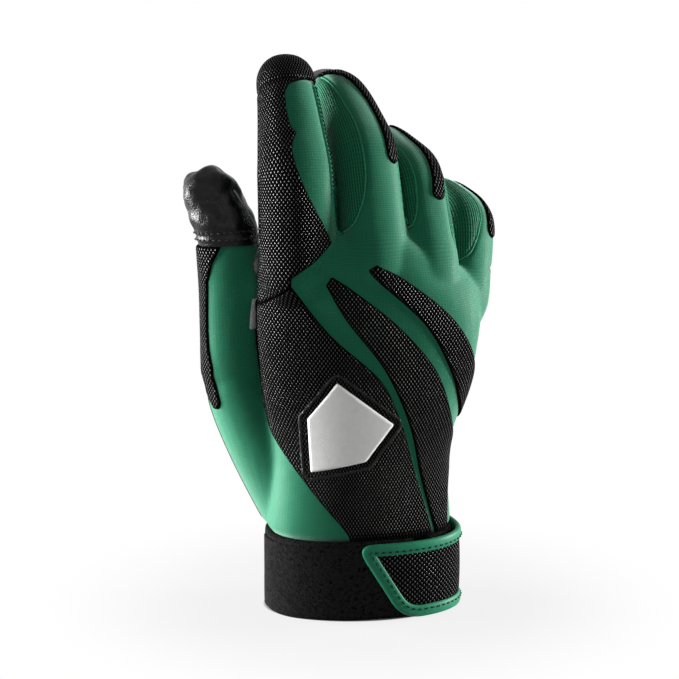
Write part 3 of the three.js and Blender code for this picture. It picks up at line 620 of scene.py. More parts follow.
def near_digit(name, reach=FINGER_REACH, root=ROOT_PLACES):
    """Which points of the skin lie on a finger, and not on its neighbours."""
    own = ratio_of(name, skin.values[name], root)
    others = [ratio_of(other, skin.values[other]) for other in DIGITS if other != name]
    return (own < reach) & (own <= np.min(others, axis=0) * NEIGHBOUR_SHARE)


def cut_digit(name, distance):
    skin.cut(np.where(near_digit(name), distance, FAR_AWAY))


def seams_between_neighbours():
    for pair in zip(FINGERS[:-1], FINGERS[1:]):
        a, b = (np.minimum(ratio_of(name, skin.values[name]), FAR_AWAY) for name in pair)
        skin.cut(np.where(np.maximum(a, b) < FINGER_REACH, a - b, FAR_AWAY))


skin.cut(skin.points[:, 2] - CUFF_HEIGHT + TUCKED_UNDER)
seams_between_neighbours()
for name, side in SIDE_SEAMS:
    cut_digit(name, off_side(name, side, skin.values[name]))
for name, edge in CAP_EDGE.items():
    cut_digit(name, skin.values[name][:, 0] - edge)
print("after the side strips:", len(skin.triangles), "triangles")

# %% [markdown]
# Each finger bends where it leaves the hand and at its middle knuckle. The skin is split into a hand part, a
# lower part and an upper part. The splits lie where the finger is straight.

# %% Parts between the bends
# Where the lower part starts, where the upper part starts, and where the middle knuckle's bend starts
# and ends.
BENDS = {
    "index": (16, 33, 33, 50),
    "middle": (16, 36, 36, 54),
    "ring": (17, 27, 30, 48),
    "pinky": (14, 23.5, 23.5, 41),
    "thumb": (12, 32, 37, 52),
}
HAND, LOWER, UPPER = 0, 1, 2
THUMB_REACH = 3.0


def attach(piece, name, part):
    """Hang a hand piece on the hand's body; a finger piece only has its transform baked."""
    if part == HAND:
        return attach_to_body(piece, "hand")
    lower, upper, bend_start, bend_end = BENDS[name]
    digit = DIGITS[name]
    if part == LOWER:
        start, end = digit.at(lower), digit.at(upper)
        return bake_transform(piece)
    start = digit.at(bend_start)
    end = start + digit.frame_at(bend_start)[0] * (bend_end - bend_start)
    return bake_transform(piece)


for name, (lower, upper, *_) in BENDS.items():
    cut_digit(name, skin.values[name][:, 0] - lower)
    cut_digit(name, skin.values[name][:, 0] - upper)
thumb_share = ratio_of("thumb", skin.values["thumb"]) - skin.values["hand"][:, 0]
skin.cut(np.where(near_digit("thumb", THUMB_REACH), thumb_share, FAR_AWAY))
print("bending parts:", {name: bend[:2] for name, bend in BENDS.items()})

# %% [markdown]
# On the hand, the knit back meets the leather palm along the sides, and the thumb's leather gusset covers its
# ball. The web strip is the leather between thumb and index finger.

# %% Hand seams
SPLIT_DEPTH = 1.0
ULNAR_SPLIT_DEPTH = 8.0
ULNAR_BELOW = 50.0
ULNAR_RISE = 40.0
ULNAR_FROM = 22.0
ULNAR_WIDTH = 14.0
ROOT_SPLIT_FROM = -14.0
ROOT_SPLIT_WIDTH = 18.0
GUSSET_PROUD = 4.0
SEAM_OVERLAP = 1.0
WEB_STRIP_ANGLES = (-48, 26)
WEB_DEPTH = 2.0
WEB_BACK = 14.0
WEB_SLOPE = 1.5
WEB_LOW = 90.0
WEB_HIGH = KNUCKLE_HEIGHT + 14.0
WEB_REACH = -14.0
WEB_FROM = 2.0


def root_line(heights):
    knots = [(z, x, y, radius) for _, x, y, z, radius in THUMB_ROOT]
    return flow(knots, heights)


def palm_side(points):
    """Above zero on the palm side of the hand's seam, which swings round the ball of the thumb."""
    line = root_line(points[:, 2])
    share = smooth((ROOT_SPLIT_FROM - points[:, 0]) / ROOT_SPLIT_WIDTH)
    upper = smooth((points[:, 2] - KNUCKLE_HEIGHT + ULNAR_BELOW) / ULNAR_RISE)
    ulnar = upper * smooth((points[:, 0] - ULNAR_FROM) / ULNAR_WIDTH)
    split = SPLIT_DEPTH + (ULNAR_SPLIT_DEPTH - SPLIT_DEPTH) * ulnar
    return points[:, 1] - split - (line[:, 1] - SPLIT_DEPTH) * share


def off_gusset(points):
    line = root_line(points[:, 2])
    away = np.hypot(points[:, 0] - line[:, 0], points[:, 1] - line[:, 1])
    return away - line[:, 2] - GUSSET_PROUD


def off_web(points):
    """Below zero on the side of the hand that faces the thumb, which is leather, tallest at the palm."""
    across, deep, height = points.T
    slant = WEB_SLOPE * np.maximum(WEB_BACK - deep, 0)
    sides = [across - WEB_REACH, WEB_DEPTH - deep, WEB_LOW + slant - height, height + slant - WEB_HIGH]
    return np.max(sides, axis=0)


for field in (palm_side, off_gusset, off_web):
    skin.values[field.__name__] = field(skin.points)[:, None]
skin.cut(np.where(skin.points[:, 2] < HAND_TOP, skin.values["palm_side"][:, 0], FAR_AWAY))
skin.cut(np.where(skin.values["palm_side"][:, 0] > -SEAM_OVERLAP, skin.values["off_gusset"][:, 0], FAR_AWAY))
skin.cut(np.where(skin.values["palm_side"][:, 0] < SEAM_OVERLAP, skin.values["off_web"][:, 0], FAR_AWAY))
for name in FINGERS:
    cut_digit(name, skin.values[name][:, 2])
for edge in WEB_STRIP_ANGLES:
    a, b = skin.values["thumb"][:, 1:].T
    turn = math.radians(edge)
    ahead = a * math.cos(turn) + b * math.sin(turn)
    cut_digit("thumb", np.where(ahead > 0, b * math.cos(turn) - a * math.sin(turn), FAR_AWAY))
cut_digit("thumb", np.where(skin.values["thumb"][:, 1] < 0, skin.values["thumb"][:, 2], FAR_AWAY))
print("after the hand seams:", len(skin.triangles), "triangles")

# %% Name every triangle
PANELS = ["back", "palm", "gusset", "web"]
PANELS += [f"{name}_{part}" for name in FINGERS for part in ("back", "palm", "inner", "outer", "cap")]
PANELS += [f"thumb_{part}" for part in ("back", "palm", "web", "cap")]


def nearest_digit(charts):
    """The number of the digit that places lie on or near, and how far out they lie from each digit."""
    ratios = np.stack([ratio_of(name, charts[name]) for name in DIGITS], 1)
    return ratios.argmin(1), ratios


def name_triangles(sheet):
    """For each triangle, the number of its panel, its digit and its bending part."""
    charts = {name: sheet.middles(name) for name in DIGITS}
    nearest, ratios = nearest_digit(charts)
    hand = sheet.middles("hand")[:, 0]
    palm = sheet.middles("palm_side")[:, 0] > 0
    gusset = palm & (sheet.middles("off_gusset")[:, 0] < 0)
    off_thumb = ratios[:, DIGIT_NAMES.index("thumb")] > hand
    web = ~palm & off_thumb & (sheet.middles("off_web")[:, 0] < 0)
    regions = {"gusset": gusset, "palm": palm, "web": web}
    numbers = [PANELS.index(region) for region in regions]
    panel = np.select(list(regions.values()), numbers, PANELS.index("back"))
    part = np.zeros(len(panel), int)
    for number, name in enumerate(DIGITS):
        chart = charts[name]
        mine = (nearest == number) & (ratios[:, number] < FINGER_REACH)
        if name == "thumb":
            mine &= ratios[:, number] < hand
        s, angle = chart[:, 0], angle_of(chart)
        lower, upper = BENDS[name][:2]
        part[mine & (s > lower)] = LOWER
        part[mine & (s > upper)] = UPPER
        on_finger = mine & (s > lower)
        facing = (angle > 0) & (angle < 180)
        strips = [PANELS.index(f"{name}_{strip}") for strip in ("back", "palm")]
        panel[on_finger] = np.where(facing, *strips)[on_finger]
        if name == "thumb":
            web = (angle > WEB_STRIP_ANGLES[0]) & (angle < WEB_STRIP_ANGLES[1])
            panel[on_finger & web] = PANELS.index("thumb_web")
            panel[mine & ~on_finger & web & (s > WEB_FROM)] = PANELS.index("web")
        for side in [side for owner, side in SIDE_SEAMS if owner == name]:
            panel[mine & (off_side(name, side, chart) < 0)] = PANELS.index(f"{name}_{side}")
        panel[mine & (s > CAP_EDGE[name])] = PANELS.index(f"{name}_cap")
    return panel, nearest, part


panel_of, _, part_of = name_triangles(skin)
below = skin.points[skin.triangles].mean(axis=1)[:, 2] < CUFF_HEIGHT - TUCKED_UNDER
panel_of[below] = -1
print("panels:", {PANELS[i]: int((panel_of == i).sum()) for i in range(len(PANELS))})

# %% [markdown]
# A seam pulls the cloth in, so the skin is pressed down a little along every line where two panels meet. The
# thumb's leather cap is creased from use, with two raised ribs above its seam. Each point also keeps its
# distance to the nearest seam, and a place on the cloth itself, so that a weave can follow the panel instead
# of the room.

# %% Press the seams in
SEAM_DEPTH = 0.5
SEAM_WIDTH = 0.9
# Size and depth of the creases in the leather.
CREASES = ((8.0, 1.5), (3.6, 0.5))
CAP_RIB_PITCH = 2.5
CAP_RIB_RISE = 0.3
CAP_RIB_END = 6.0
CAP_RIB_FADE = 2.0
CAP_FOLDS_FROM = 3.0
CAP_FOLDS_OVER = 5.0
# Panels that go on from a neighbour without a seam.
JOINED = {"pinky_outer": "back", "thumb_back": "back", "thumb_palm": "gusset", "thumb_web": "web"}
for name in FINGERS:
    JOINED[f"{name}_back"] = "back"
    JOINED[f"{name}_palm"] = "palm"


def seam_points(sheet, labels):
    """The points where panels with different labels meet."""
    sides = np.sort(edges_of(sheet.triangles), axis=1)
    owner = np.tile(labels, 3)
    order = np.lexsort((sides[:, 1], sides[:, 0]))
    sides, owner = sides[order], owner[order]
    pairs = (sides[1:] == sides[:-1]).all(axis=1) & (owner[1:] != owner[:-1])
    return np.unique(sides[1:][pairs])


def distance_to(points, marks):
    tree = tree_of(marks)
    return np.array([tree.find(point)[2] for point in points])


def crease(points):
    """How far the leather of the thumb's cap stands out or in."""
    above = skin.values["thumb"][:, 0] - CAP_EDGE["thumb"]
    on_thumb = near_digit("thumb")
    share = smooth((above - CAP_FOLDS_FROM) / CAP_FOLDS_OVER) * on_thumb
    ribs = CAP_RIB_RISE * np.cos(TURN * above / CAP_RIB_PITCH)
    ribs = ribs * smooth((CAP_RIB_END - above) / CAP_RIB_FADE) * smooth(above)
    folds = np.zeros(len(points))
    for i in np.flatnonzero(share > 0):
        folds[i] = sum(depth * noise.noise(Vector(points[i]) / size) for size, depth in CREASES)
    return folds * share + ribs * on_thumb


seam_label = np.array([PANELS.index(JOINED.get(name, name)) for name in PANELS] + [-1])[panel_of]
seam_marks = skin.points[seam_points(skin, seam_label)]
seam_distance = distance_to(skin.points, seam_marks)
normals = vertex_normals(skin.points, skin.triangles)
groove = SEAM_DEPTH * np.exp(-((seam_distance / SEAM_WIDTH) ** 2))
skin.points = skin.points + normals * (crease(skin.points) - groove)[:, None]
skin.values["normal"] = vertex_normals(skin.points, skin.triangles)
print("seam points:", len(seam_marks))

# %% Places on the cloth
BLEND_START = 2.0
BLEND_LENGTH = 12.0
ROUND_STEPS = 721


def round_the_hand(points):
    """How far round the hand points lie from the middle of its back, to the little-finger side."""
    sections = flow(HAND_SECTIONS, points[:, 2])
    off = (points[:, :2] - sections[:, :2]) / sections[:, 2:]
    turns = np.linspace(-math.pi, math.pi, ROUND_STEPS)
    width, depth = sections.mean(axis=0)[2:]
    reach = rounded(turns, 0.5, 0.5, HAND_POWER)
    walked = walk(np.stack([width * reach * np.sin(turns), -depth * reach * np.cos(turns)], 1))
    walked = walked - walked[ROUND_STEPS // 2]
    return np.interp(np.arctan2(off[:, 0], -off[:, 1]), turns, walked) + sections[:, 0]


def cloth_places(sheet):
    """Across and along the cloth, in millimetres, running on from the hand into each finger."""
    places = np.stack([round_the_hand(sheet.points), sheet.points[:, 2]], 1)
    charts = {name: sheet.values[name] for name in DIGITS}
    nearest, ratios = nearest_digit(charts)
    for number, (name, digit) in enumerate(DIGITS.items()):
        mine = (nearest == number) & (ratios[:, number] < FINGER_REACH)
        flat = flat_places(name, charts[name]) + digit.at(0)[[0, 2]]
        share = smooth((charts[name][:, 0] - BLEND_START) / BLEND_LENGTH)[:, None]
        places[mine] = (places * (1 - share) + flat * share)[mine]
    return places


skin.values["cloth"] = np.column_stack([cloth_places(skin), seam_distance])
print("cloth spans", np.ptp(skin.values["cloth"], axis=0).round(0))

# %% [markdown]
# Shader maths is easier to read as sums than as boxes and wires. This small class holds a socket, and adding
# or multiplying two of them adds the Math node that does it.

# %% Shader arithmetic
class Wire:
    """A shader socket that can be used in sums."""

    def __init__(self, paint, socket):
        self.paint, self.socket = paint, socket

    def _math(self, operation, *terms):
        return self.paint.node("ShaderNodeMath", {"operation": operation}, dict(enumerate(terms)))

    def __add__(self, other):
        return self._math("ADD", self, other)

    def __sub__(self, other):
        return self._math("SUBTRACT", self, other)

    def __rsub__(self, other):
        return self._math("SUBTRACT", other, self)

    def __mul__(self, other):
        return self._math("MULTIPLY", self, other)

    __radd__ = __add__

    def cosine(self):
        return self._math("COSINE", self)

    def wave(self, pitch, shift=0.0):
        """A wave with a pitch in millimetres: 1 on its crests and 0 between them."""
        return (self * (TURN / pitch) + shift).cosine() * 0.5 + 0.5

    def length(self):
        return self.paint.node("ShaderNodeVectorMath", {"operation": "LENGTH"}, {0: self}, "Value")

    def above(self, other):
        return self._math("MAXIMUM", self, other)

    def below(self, other):
        return self._math("MINIMUM", self, other)

    def fade(self, start, end):
        """0 before start and 1 after end, or the other way round, with a soft step between."""
        low, high = (start, end) if start < end else (end, start)
        limits = {"Value": self, "From Min": low, "From Max": high}
        step = self.paint.node("ShaderNodeMapRange", {"interpolation_type": "SMOOTHSTEP"}, limits)
        return step if start < end else 1 - step


class Nodes:
    """The nodes of a material or of the world."""

    def __init__(self, tree):
        self.tree = tree

    def node(self, kind, settings, sockets, output=0):
        """Any node: its type, its settings and the values or links of its sockets."""
        node = self.tree.nodes.new(kind)
        for setting, value in settings.items():
            setattr(node, setting, value)
        for socket, value in sockets.items():
            self.join(value, node.inputs[socket])
        return Wire(self, node.outputs[output])

    def several(self, kind, sockets, outputs):
        """Some of the outputs of one node."""
        made = self.node(kind, {}, sockets).socket.node
        return [Wire(self, made.outputs[output]) for output in outputs]

    def join(self, value, socket):
        if isinstance(value, Wire):
            self.tree.links.new(value.socket, socket)
        else:
            socket.default_value = value


class Paint(Nodes):
    """One material and the nodes that make it."""

    def __init__(self, name, **constants):
        self.material = bpy.data.materials.new(name)
        self.material.use_nodes = True
        super().__init__(self.material.node_tree)
        self.surface = self.tree.nodes["Principled BSDF"]
        self.set_up(self.surface, constants)

    def set_up(self, surface, constants):
        for socket, value in constants.items():
            surface.inputs[socket.replace("_", " ").title().replace("Ior", "IOR")].default_value = value

    def cloth(self):
        """Across, along and distance from the seam, in millimetres."""
        place = self.node("ShaderNodeAttribute", {"attribute_name": "cloth"}, {}, "Vector")
        return self.several("ShaderNodeSeparateXYZ", {"Vector": place}, "XYZ")

    def rest(self):
        return self.node("ShaderNodeAttribute", {"attribute_name": "rest"}, {}, "Vector")

    def speckle(self, size, detail=2.0, roughness=0.5):
        """Noise with spots of a size in millimetres."""
        sockets = {"Vector": self.rest(), "Scale": 1 / size, "Detail": detail, "Roughness": roughness}
        return self.node("ShaderNodeTexNoise", {}, sockets, "Fac")

    def mix(self, share, first, second):
        sockets = {0: share, 6: first, 7: second}
        return self.node("ShaderNodeMix", {"data_type": "RGBA"}, sockets, 2)

    def finish(self, colour=None, roughness=None, height=None, depth=0.1, strength=1.0):
        """Send colour, roughness and a bump height, with its depth in millimetres, to the surface."""
        if colour is not None:
            self.join(colour, self.surface.inputs["Base Color"])
        if roughness is not None:
            self.join(roughness, self.surface.inputs["Roughness"])
        if height is not None:
            sockets = {"Height": height, "Distance": depth * MM, "Strength": strength}
            self.join(self.node("ShaderNodeBump", {}, sockets), self.surface.inputs["Normal"])
        return self.material

    def cover(self, share, top):
        """Mix another shader over the surface: share 1 shows only the other one."""
        under = Wire(self, self.surface.outputs[0])
        both = self.node("ShaderNodeMixShader", {}, {0: share, 1: under, 2: top})
        self.join(both, self.tree.nodes["Material Output"].inputs["Surface"])

    def cover_with(self, share, **constants):
        """Cover the surface with a second one that has the same bumps."""
        top = self.tree.nodes.new("ShaderNodeBsdfPrincipled")
        self.set_up(top, constants)
        for link in self.surface.inputs["Normal"].links:
            self.tree.links.new(link.from_socket, top.inputs["Normal"])
        self.cover(share, Wire(self, top.outputs[0]))


def rgb(red, green, blue):
    """A colour as a painter reads it, from 0 to 255, as Blender's linear colour."""
    parts = [value / 255 for value in (red, green, blue)]
    linear = [p / 12.92 if p <= 0.04045 else ((p + 0.055) / 1.055) ** 2.4 for p in parts]
    return (*linear, 1.0)


print("middle grey in linear colour:", np.round(rgb(128, 128, 128), 3))

# %% [markdown]
# The green back is a fine warp knit with a satin face. From a step away it reads as thin cross lines with a
# soft sheen. Its colour is painted darker near each seam, a painted shade for the groove where the seam pulls
# it in.

# %% Green knit
KNIT_LINE = 0.82
KNIT_COLUMN = 1.3
SHEEN_GREEN = rgb(200, 235, 220)


def green_knit():
    paint = Paint("green_knit", specular_ior_level=0.03, sheen_weight=0.55, sheen_tint=SHEEN_GREEN)
    across, along, seam = paint.cloth()
    waver = paint.speckle(5.0)
    lines = along.wave(KNIT_LINE, waver * 3.0)
    columns = across.wave(KNIT_COLUMN)
    loops = lines * 0.75 + columns * 0.25
    folds = paint.speckle(17.0, 2.0)
    tone = loops * 0.3 + folds * 0.3 + 0.15
    colour = paint.mix(tone, rgb(8, 70, 48), rgb(28, 114, 83))
    # Painted shade: near a seam the colour turns dark green, the shade of the seam's groove.
    colour = paint.mix(seam.fade(1.4, 0.1) * 0.5, colour, rgb(6, 44, 30))
    return paint.finish(colour, 0.38 + loops * 0.12, loops * 0.08 + folds, 1.0, 0.55)


GREEN_KNIT = green_knit()
print("finish:", GREEN_KNIT.name)

# %% [markdown]
# The fourchettes are an open mesh with ribs along the finger. Rows of small holes between the ribs let the
# hand breathe. The holes are painted near black as painted shade, so they look like dark dots, and, as on the
# knit, the mesh is painted darker near each seam as painted shade.

# %% Green mesh
RIB_PITCH = 0.95
HOLE_PITCH = 1.25


def green_mesh():
    paint = Paint("green_mesh", specular_ior_level=0.05, sheen_weight=0.1, sheen_tint=SHEEN_GREEN)
    across, along, seam = paint.cloth()
    ribs = across.wave(RIB_PITCH)
    holes = (1 - ribs) * along.wave(HOLE_PITCH)
    # The holes are rougher and lower in the bump, and their near-black colour is painted shade.
    dark = holes.fade(0.35, 0.8)
    colour = paint.mix(ribs * 0.6 + paint.speckle(4.0) * 0.3, rgb(8, 62, 42), rgb(32, 110, 79))
    colour = paint.mix(dark * 0.75, colour, rgb(3, 22, 15))
    # Painted shade: darker near a seam, as on the knit.
    colour = paint.mix(seam.fade(1.2, 0.1) * 0.45, colour, rgb(5, 34, 23))
    return paint.finish(colour, 0.55 + dark * 0.2, ribs - dark * 0.7, 0.25, 0.7)


GREEN_MESH = green_mesh()
print("finish:", GREEN_MESH.name)

# %% [markdown]
# The overlays are a coated weave: rows of small oblong bumps, each row shifted by half a bump. The gaps are
# dull and painted almost black, a painted shade, and the bump tops are painted a little lighter, a painted
# highlight that is stronger where a noise is high. Only the tops of the bumps are smooth, so a lamp from the
# side leaves bright ticks on them and the rest of the weave stays dark.

# %% Black weave
# The step from one bump to the next in a row, and from one row to the next.
BUMP_ACROSS = 1.4
BUMP_ALONG = 1.0
STRAP_BUMP_ACROSS = 1.9


def staggered(across, along, wide, tall):
    """Bumps in rows, each row shifted by half a bump: 1 on a bump and 0 between bumps."""
    column = (across * (TURN / wide)).cosine()
    row = (along * (TURN / (2 * tall))).cosine()
    return column * column * column * row * 0.5 + 0.5


def black_weave(name, wide):
    paint = Paint(name, specular_ior_level=0.0)
    across, along, edge = paint.cloth()
    bumps = staggered(across, along, wide, BUMP_ALONG)
    wear_and_highlight = paint.speckle(7.0, 3.0)
    # Painted highlight and painted shade: the bump tops are coloured lighter and the gaps near black.
    colour = paint.mix(bumps.fade(0.4, 0.9) * wear_and_highlight, rgb(5, 5, 5), rgb(26, 25, 25))
    paint.finish(colour, 0.7, bumps.fade(0.3, 1.0), 0.2, 0.9)
    tops = bumps.fade(0.52, 0.78) * edge.fade(0.2, 0.9) * (wear_and_highlight * 0.5 + 0.6).below(1)
    paint.cover_with(tops, base_color=rgb(30, 29, 29), roughness=0.3, specular_ior_level=0.3)
    return paint.material


BLACK_WEAVE = black_weave("black_weave", BUMP_ACROSS)
STRAP_WEAVE = black_weave("strap_weave", STRAP_BUMP_ACROSS)
print("finishes:", BLACK_WEAVE.name, STRAP_WEAVE.name)

# %% [markdown]
# The palm and the tip caps are soft black leather. The thumb's web is black leather too, painted light grey
# as a painted highlight. Leather has small cells with fine creases between them, and larger folds where it
# bends, and it shines a little more where it is handled.

# %% Leather
def leather(name, dark, light, shine):
    paint = Paint(name, specular_ior_level=0.12)
    sockets = {"Vector": paint.rest(), "Scale": 1.1, "Randomness": 1.0}
    cells = paint.node("ShaderNodeTexVoronoi", {"feature": "DISTANCE_TO_EDGE"}, sockets, "Distance")
    grain = cells.fade(0.0, 0.3)
    folds = paint.speckle(6.0, 4.0, 0.6)
    colour = paint.mix(grain * 0.5 + folds * 0.5, dark, light)
    return paint.finish(colour, shine + folds * 0.2 - grain * 0.06, grain * 0.3 + folds, 0.35, 0.5)


BLACK_LEATHER = leather("black_leather", rgb(4, 4, 4), rgb(20, 19, 19), 0.24)
# Painted highlight: the web's black leather is coloured light grey.
PAINTED_HIGHLIGHT_LEATHER = leather("painted_highlight_leather", rgb(120, 122, 122), rgb(186, 188, 188), 0.42)
print("finishes:", BLACK_LEATHER.name, PAINTED_HIGHLIGHT_LEATHER.name)

# %% [markdown]
# The cuff is brushed loop pile. It has no gloss at all, only short fibres that catch light at the edges, so
# its finish is rough, with a faint sheen and a tangled bump.

# %% Loop pile, binding and thread
TWIST_SLANT = 1.2
TWIST_PITCH = 0.7


def loop_pile(name, tone):
    paint = Paint(name, specular_ior_level=0.0, sheen_weight=0.05)
    tangle = paint.speckle(1.5, 4.0, 0.75)
    clumps = paint.speckle(4.0, 3.0)
    loops = tangle.fade(0.38, 0.66)
    colour = paint.mix(loops * (clumps * 0.8 + 0.4), rgb(3, 3, 3), tone)
    return paint.finish(colour, 0.9, loops + clumps * 0.8, 1.5, 1.0)


def green_binding():
    paint = Paint("green_binding", specular_ior_level=0.12)
    grain = paint.speckle(0.9, 3.0)
    folds = paint.speckle(5.0, 2.0)
    colour = paint.mix(grain * 0.35 + folds * 0.5, rgb(14, 84, 60), rgb(40, 126, 94))
    return paint.finish(colour, 0.4 + grain * 0.12, grain * 0.4 + folds * 0.6, 0.18, 0.6)


def thread(name, dark, light):
    paint = Paint(name, specular_ior_level=0.06)
    across, along, _ = paint.cloth()
    twist = (across * TWIST_SLANT + along).wave(TWIST_PITCH)
    colour = paint.mix(twist * 0.6 + paint.speckle(2.0) * 0.3, dark, light)
    return paint.finish(colour, 0.5 + twist * 0.1, twist, 0.12, 0.7)


GREEN_BINDING = green_binding()
CUFF_PILE = loop_pile("cuff_pile", rgb(32, 31, 31))
HOOK_PILE = loop_pile("hook_pile", rgb(40, 40, 40))
GREEN_THREAD = thread("green_thread", rgb(18, 92, 64), rgb(62, 148, 112))
DARK_GREEN_THREAD = thread("dark_green_thread", rgb(4, 34, 23), rgb(14, 62, 43))
BLACK_THREAD = thread("black_thread", rgb(14, 14, 14), rgb(70, 70, 70))
# Painted highlight: the thumb's seam is black thread, coloured light grey for its glints.
PAINTED_GLINT_THREAD = thread("painted_glint_thread", rgb(80, 80, 80), rgb(176, 176, 176))
WHITE_THREAD = thread("white_thread", rgb(196, 196, 194), rgb(246, 246, 244))
print("finishes:", len(bpy.data.materials))

# %% [markdown]
# Every panel becomes a closed sheet with a real thickness: the skin itself outside, the same skin set in
# inside, and a rim round its edge. The normals come from the whole skin, so that two parts of one panel meet
# without a line between them.

# %% Closed sheets
PANEL_WALL = 0.8


def open_edges(triangles):
    """The edges that only one triangle uses, in that triangle's direction."""
    edges = edges_of(triangles)
    count = int(triangles.max()) + 1
    forward = edges[:, 0].astype(np.int64) * count + edges[:, 1]
    backward = edges[:, 1].astype(np.int64) * count + edges[:, 0]
    return edges[~np.isin(forward, backward)]


def two_layers(triangles, count):
    """The triangles of a closed sheet: its top, its underside and the rim between them."""
    a, b = open_edges(triangles).T
    return np.concatenate([triangles, triangles[:, ::-1] + count, quads(b, a, a + count, b + count)])


def add_mesh(name, points, triangles, finish, cloth=None, normals=None):
    mesh = mesh_of(name, points, triangles)
    mesh.polygons.foreach_set("use_smooth", np.ones(len(mesh.polygons), bool))
    places = {"rest": points, "cloth": cloth if cloth is not None else points}
    for attribute, values in places.items():
        layer = mesh.attributes.new(attribute, "FLOAT_VECTOR", "POINT")
        layer.data.foreach_set("vector", np.ascontiguousarray(values, np.float32).ravel())
    if normals is not None:
        mesh.normals_split_custom_set_from_vertices(normals.tolist())
    mesh.materials.append(finish)
    piece = bpy.data.objects.new(name, mesh)
    bpy.context.scene.collection.objects.link(piece)
    return piece


def closed_sheet(name, sheet, keep, finish, rise, sink):
    """A sheet over some of a skin's triangles, from sink below the skin to rise above it."""
    used, triangles = np.unique(sheet.triangles[keep], return_inverse=True)
    triangles = triangles.reshape(-1, 3)
    points, out = sheet.points[used], sheet.values["normal"][used]
    rise = np.broadcast_to(rise, len(sheet.points))[used]
    top = points + out * rise[:, None]
    both = np.concatenate([top, points - out * sink])
    cloth = np.tile(sheet.values["cloth"][used], (2, 1))
    shading = vertex_normals(top, triangles) if np.ptp(rise) > 0 else out
    normals = np.concatenate([shading, -out])
    return add_mesh(name, both, two_layers(triangles, len(used)), finish, cloth, normals)


def stand_for(piece, slot, *nodes):
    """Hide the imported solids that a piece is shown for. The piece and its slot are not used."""
    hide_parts(*nodes)


def dress(name, sheet, keep, digit, part, finish, slot, nodes, rise=0.0, sink=PANEL_WALL):
    piece = closed_sheet(name, sheet, keep, finish, rise, sink)
    attach(piece, digit, part)
    stand_for(piece, slot, *nodes)


print("wall of a panel:", PANEL_WALL, "mm")

# %% Cut out the panels
PART_WORDS = ("root", "lower", "upper")
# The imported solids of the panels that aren't named like the others.
OWN_NODES = {
    "back": "back_panel",
    "palm": "palm_panel",
    "gusset": "thumb_gusset",
    "web": "thumb_web_strip",
    "thumb_web": "thumb_web_strip",
    "thumb_back": "thumb_back_panel",
    "thumb_palm": "thumb_palm_panel",
    "index_outer": "index_fourchette",
    "pinky_outer": "pinky_side_panel",
}
LOOKS = {
    "back": (GREEN_KNIT, "green_knit"),
    "palm": (BLACK_LEATHER, "black_leather"),
    "cap": (BLACK_LEATHER, "black_leather"),
    "gusset": (BLACK_LEATHER, "black_leather"),
    "web": (PAINTED_HIGHLIGHT_LEATHER, "black_leather"),
    "inner": (GREEN_MESH, "green_mesh"),
    "outer": (GREEN_MESH, "green_mesh"),
}


def node_of(panel, part):
    """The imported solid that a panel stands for."""
    if panel in OWN_NODES:
        return OWN_NODES[panel]
    name, strip = panel.split("_")
    if strip in ("inner", "outer"):
        return f"{panel}_fourchette"
    if strip == "cap":
        return f"{name}_tip_cap"
    if part == HAND:
        return f"{strip}_panel"
    return f"{name}_{PART_WORDS[part]}_{strip}"


def cut_out_panels():
    made = 0
    for number, panel in enumerate(PANELS):
        digit, _, strip = panel.rpartition("_")
        finish, slot = LOOKS["back" if panel == "pinky_outer" else strip]
        for part in (HAND, LOWER, UPPER):
            keep = (panel_of == number) & (part_of == part)
            if keep.any():
                label = f"{panel}_{PART_WORDS[part]}_sheet" if digit else f"{panel}_sheet"
                dress(label, skin, keep, digit, part, finish, slot, [node_of(panel, part)])
                made += 1
    return made


print("panels made:", cut_out_panels())

# %% [markdown]
# The woven overlays are cut from a second cloth and pressed onto the knit, so they stand a little proud with
# a rounded edge. Each is drawn as a flat outline: on the hand in millimetres across and up, on a finger as an
# angle and a place along it. Two more cuts just inside the edge give the edge its round shape.

# %% Overlays
OVERLAY_RISE = 0.95
OVERLAY_EDGE = 1.0
OVERLAY_EDGE_STEP = 0.45
OVERLAY_SINK = 0.25
OVERLAY_REACH = 5.0
PALM_LIMIT = 4.0


def overlay(name, field, finish, slot, nodes, lift=0.0, rise=OVERLAY_RISE, places=None):
    """Raise a sheet where a field on the skin is below zero, in one piece for each bending part."""
    near = (field < OVERLAY_REACH)[skin.triangles].any(axis=1)
    places = skin.values["cloth"][:, :2] if places is None else places
    cover = Skin(skin.points, skin.triangles[near], dict(skin.values, outline=field[:, None], places=places))
    for inside in (0.0, OVERLAY_EDGE_STEP, OVERLAY_EDGE):
        cover.cut(cover.values["outline"][:, 0] + inside)
    _, digit, part = name_triangles(cover)
    within = cover.middles("outline")[:, 0] < 0
    depth = np.clip(-cover.values["outline"][:, 0] / OVERLAY_EDGE, 0, 1)
    height = lift + rise * np.sqrt(1 - (1 - depth) ** 2)
    cover.values["cloth"] = np.column_stack([cover.values["places"], -cover.values["outline"][:, 0]])
    look = (finish, slot, nodes, height, OVERLAY_SINK - lift)
    for number in (HAND, LOWER, UPPER):
        here = within & (part == number)
        if number == HAND and here.any():
            dress(name, cover, here, "", HAND, *look)
            continue
        for which in np.unique(digit[here]):
            owner = DIGIT_NAMES[which]
            label = f"{name}_{owner}_{PART_WORDS[number]}"
            dress(label, cover, here & (digit == which), owner, number, *look)


def woven(name, field, nodes, places=None):
    overlay(name, field, BLACK_WEAVE, "black_weave", nodes, places=places)


def on_back(outline, palm_limit=PALM_LIMIT):
    """A field for an outline drawn across and up the back of the hand."""
    field = outline_distance(skin.points[:, [0, 2]], outline)
    return np.maximum(field, np.minimum(skin.points[:, 1] - palm_limit, FAR_AWAY))


def on_digit(name, distance, root=ROOT_PLACES):
    return np.where(near_digit(name, WIDE_REACH, root), distance, FAR_AWAY)


print("an overlay stands", OVERLAY_RISE, "mm proud")

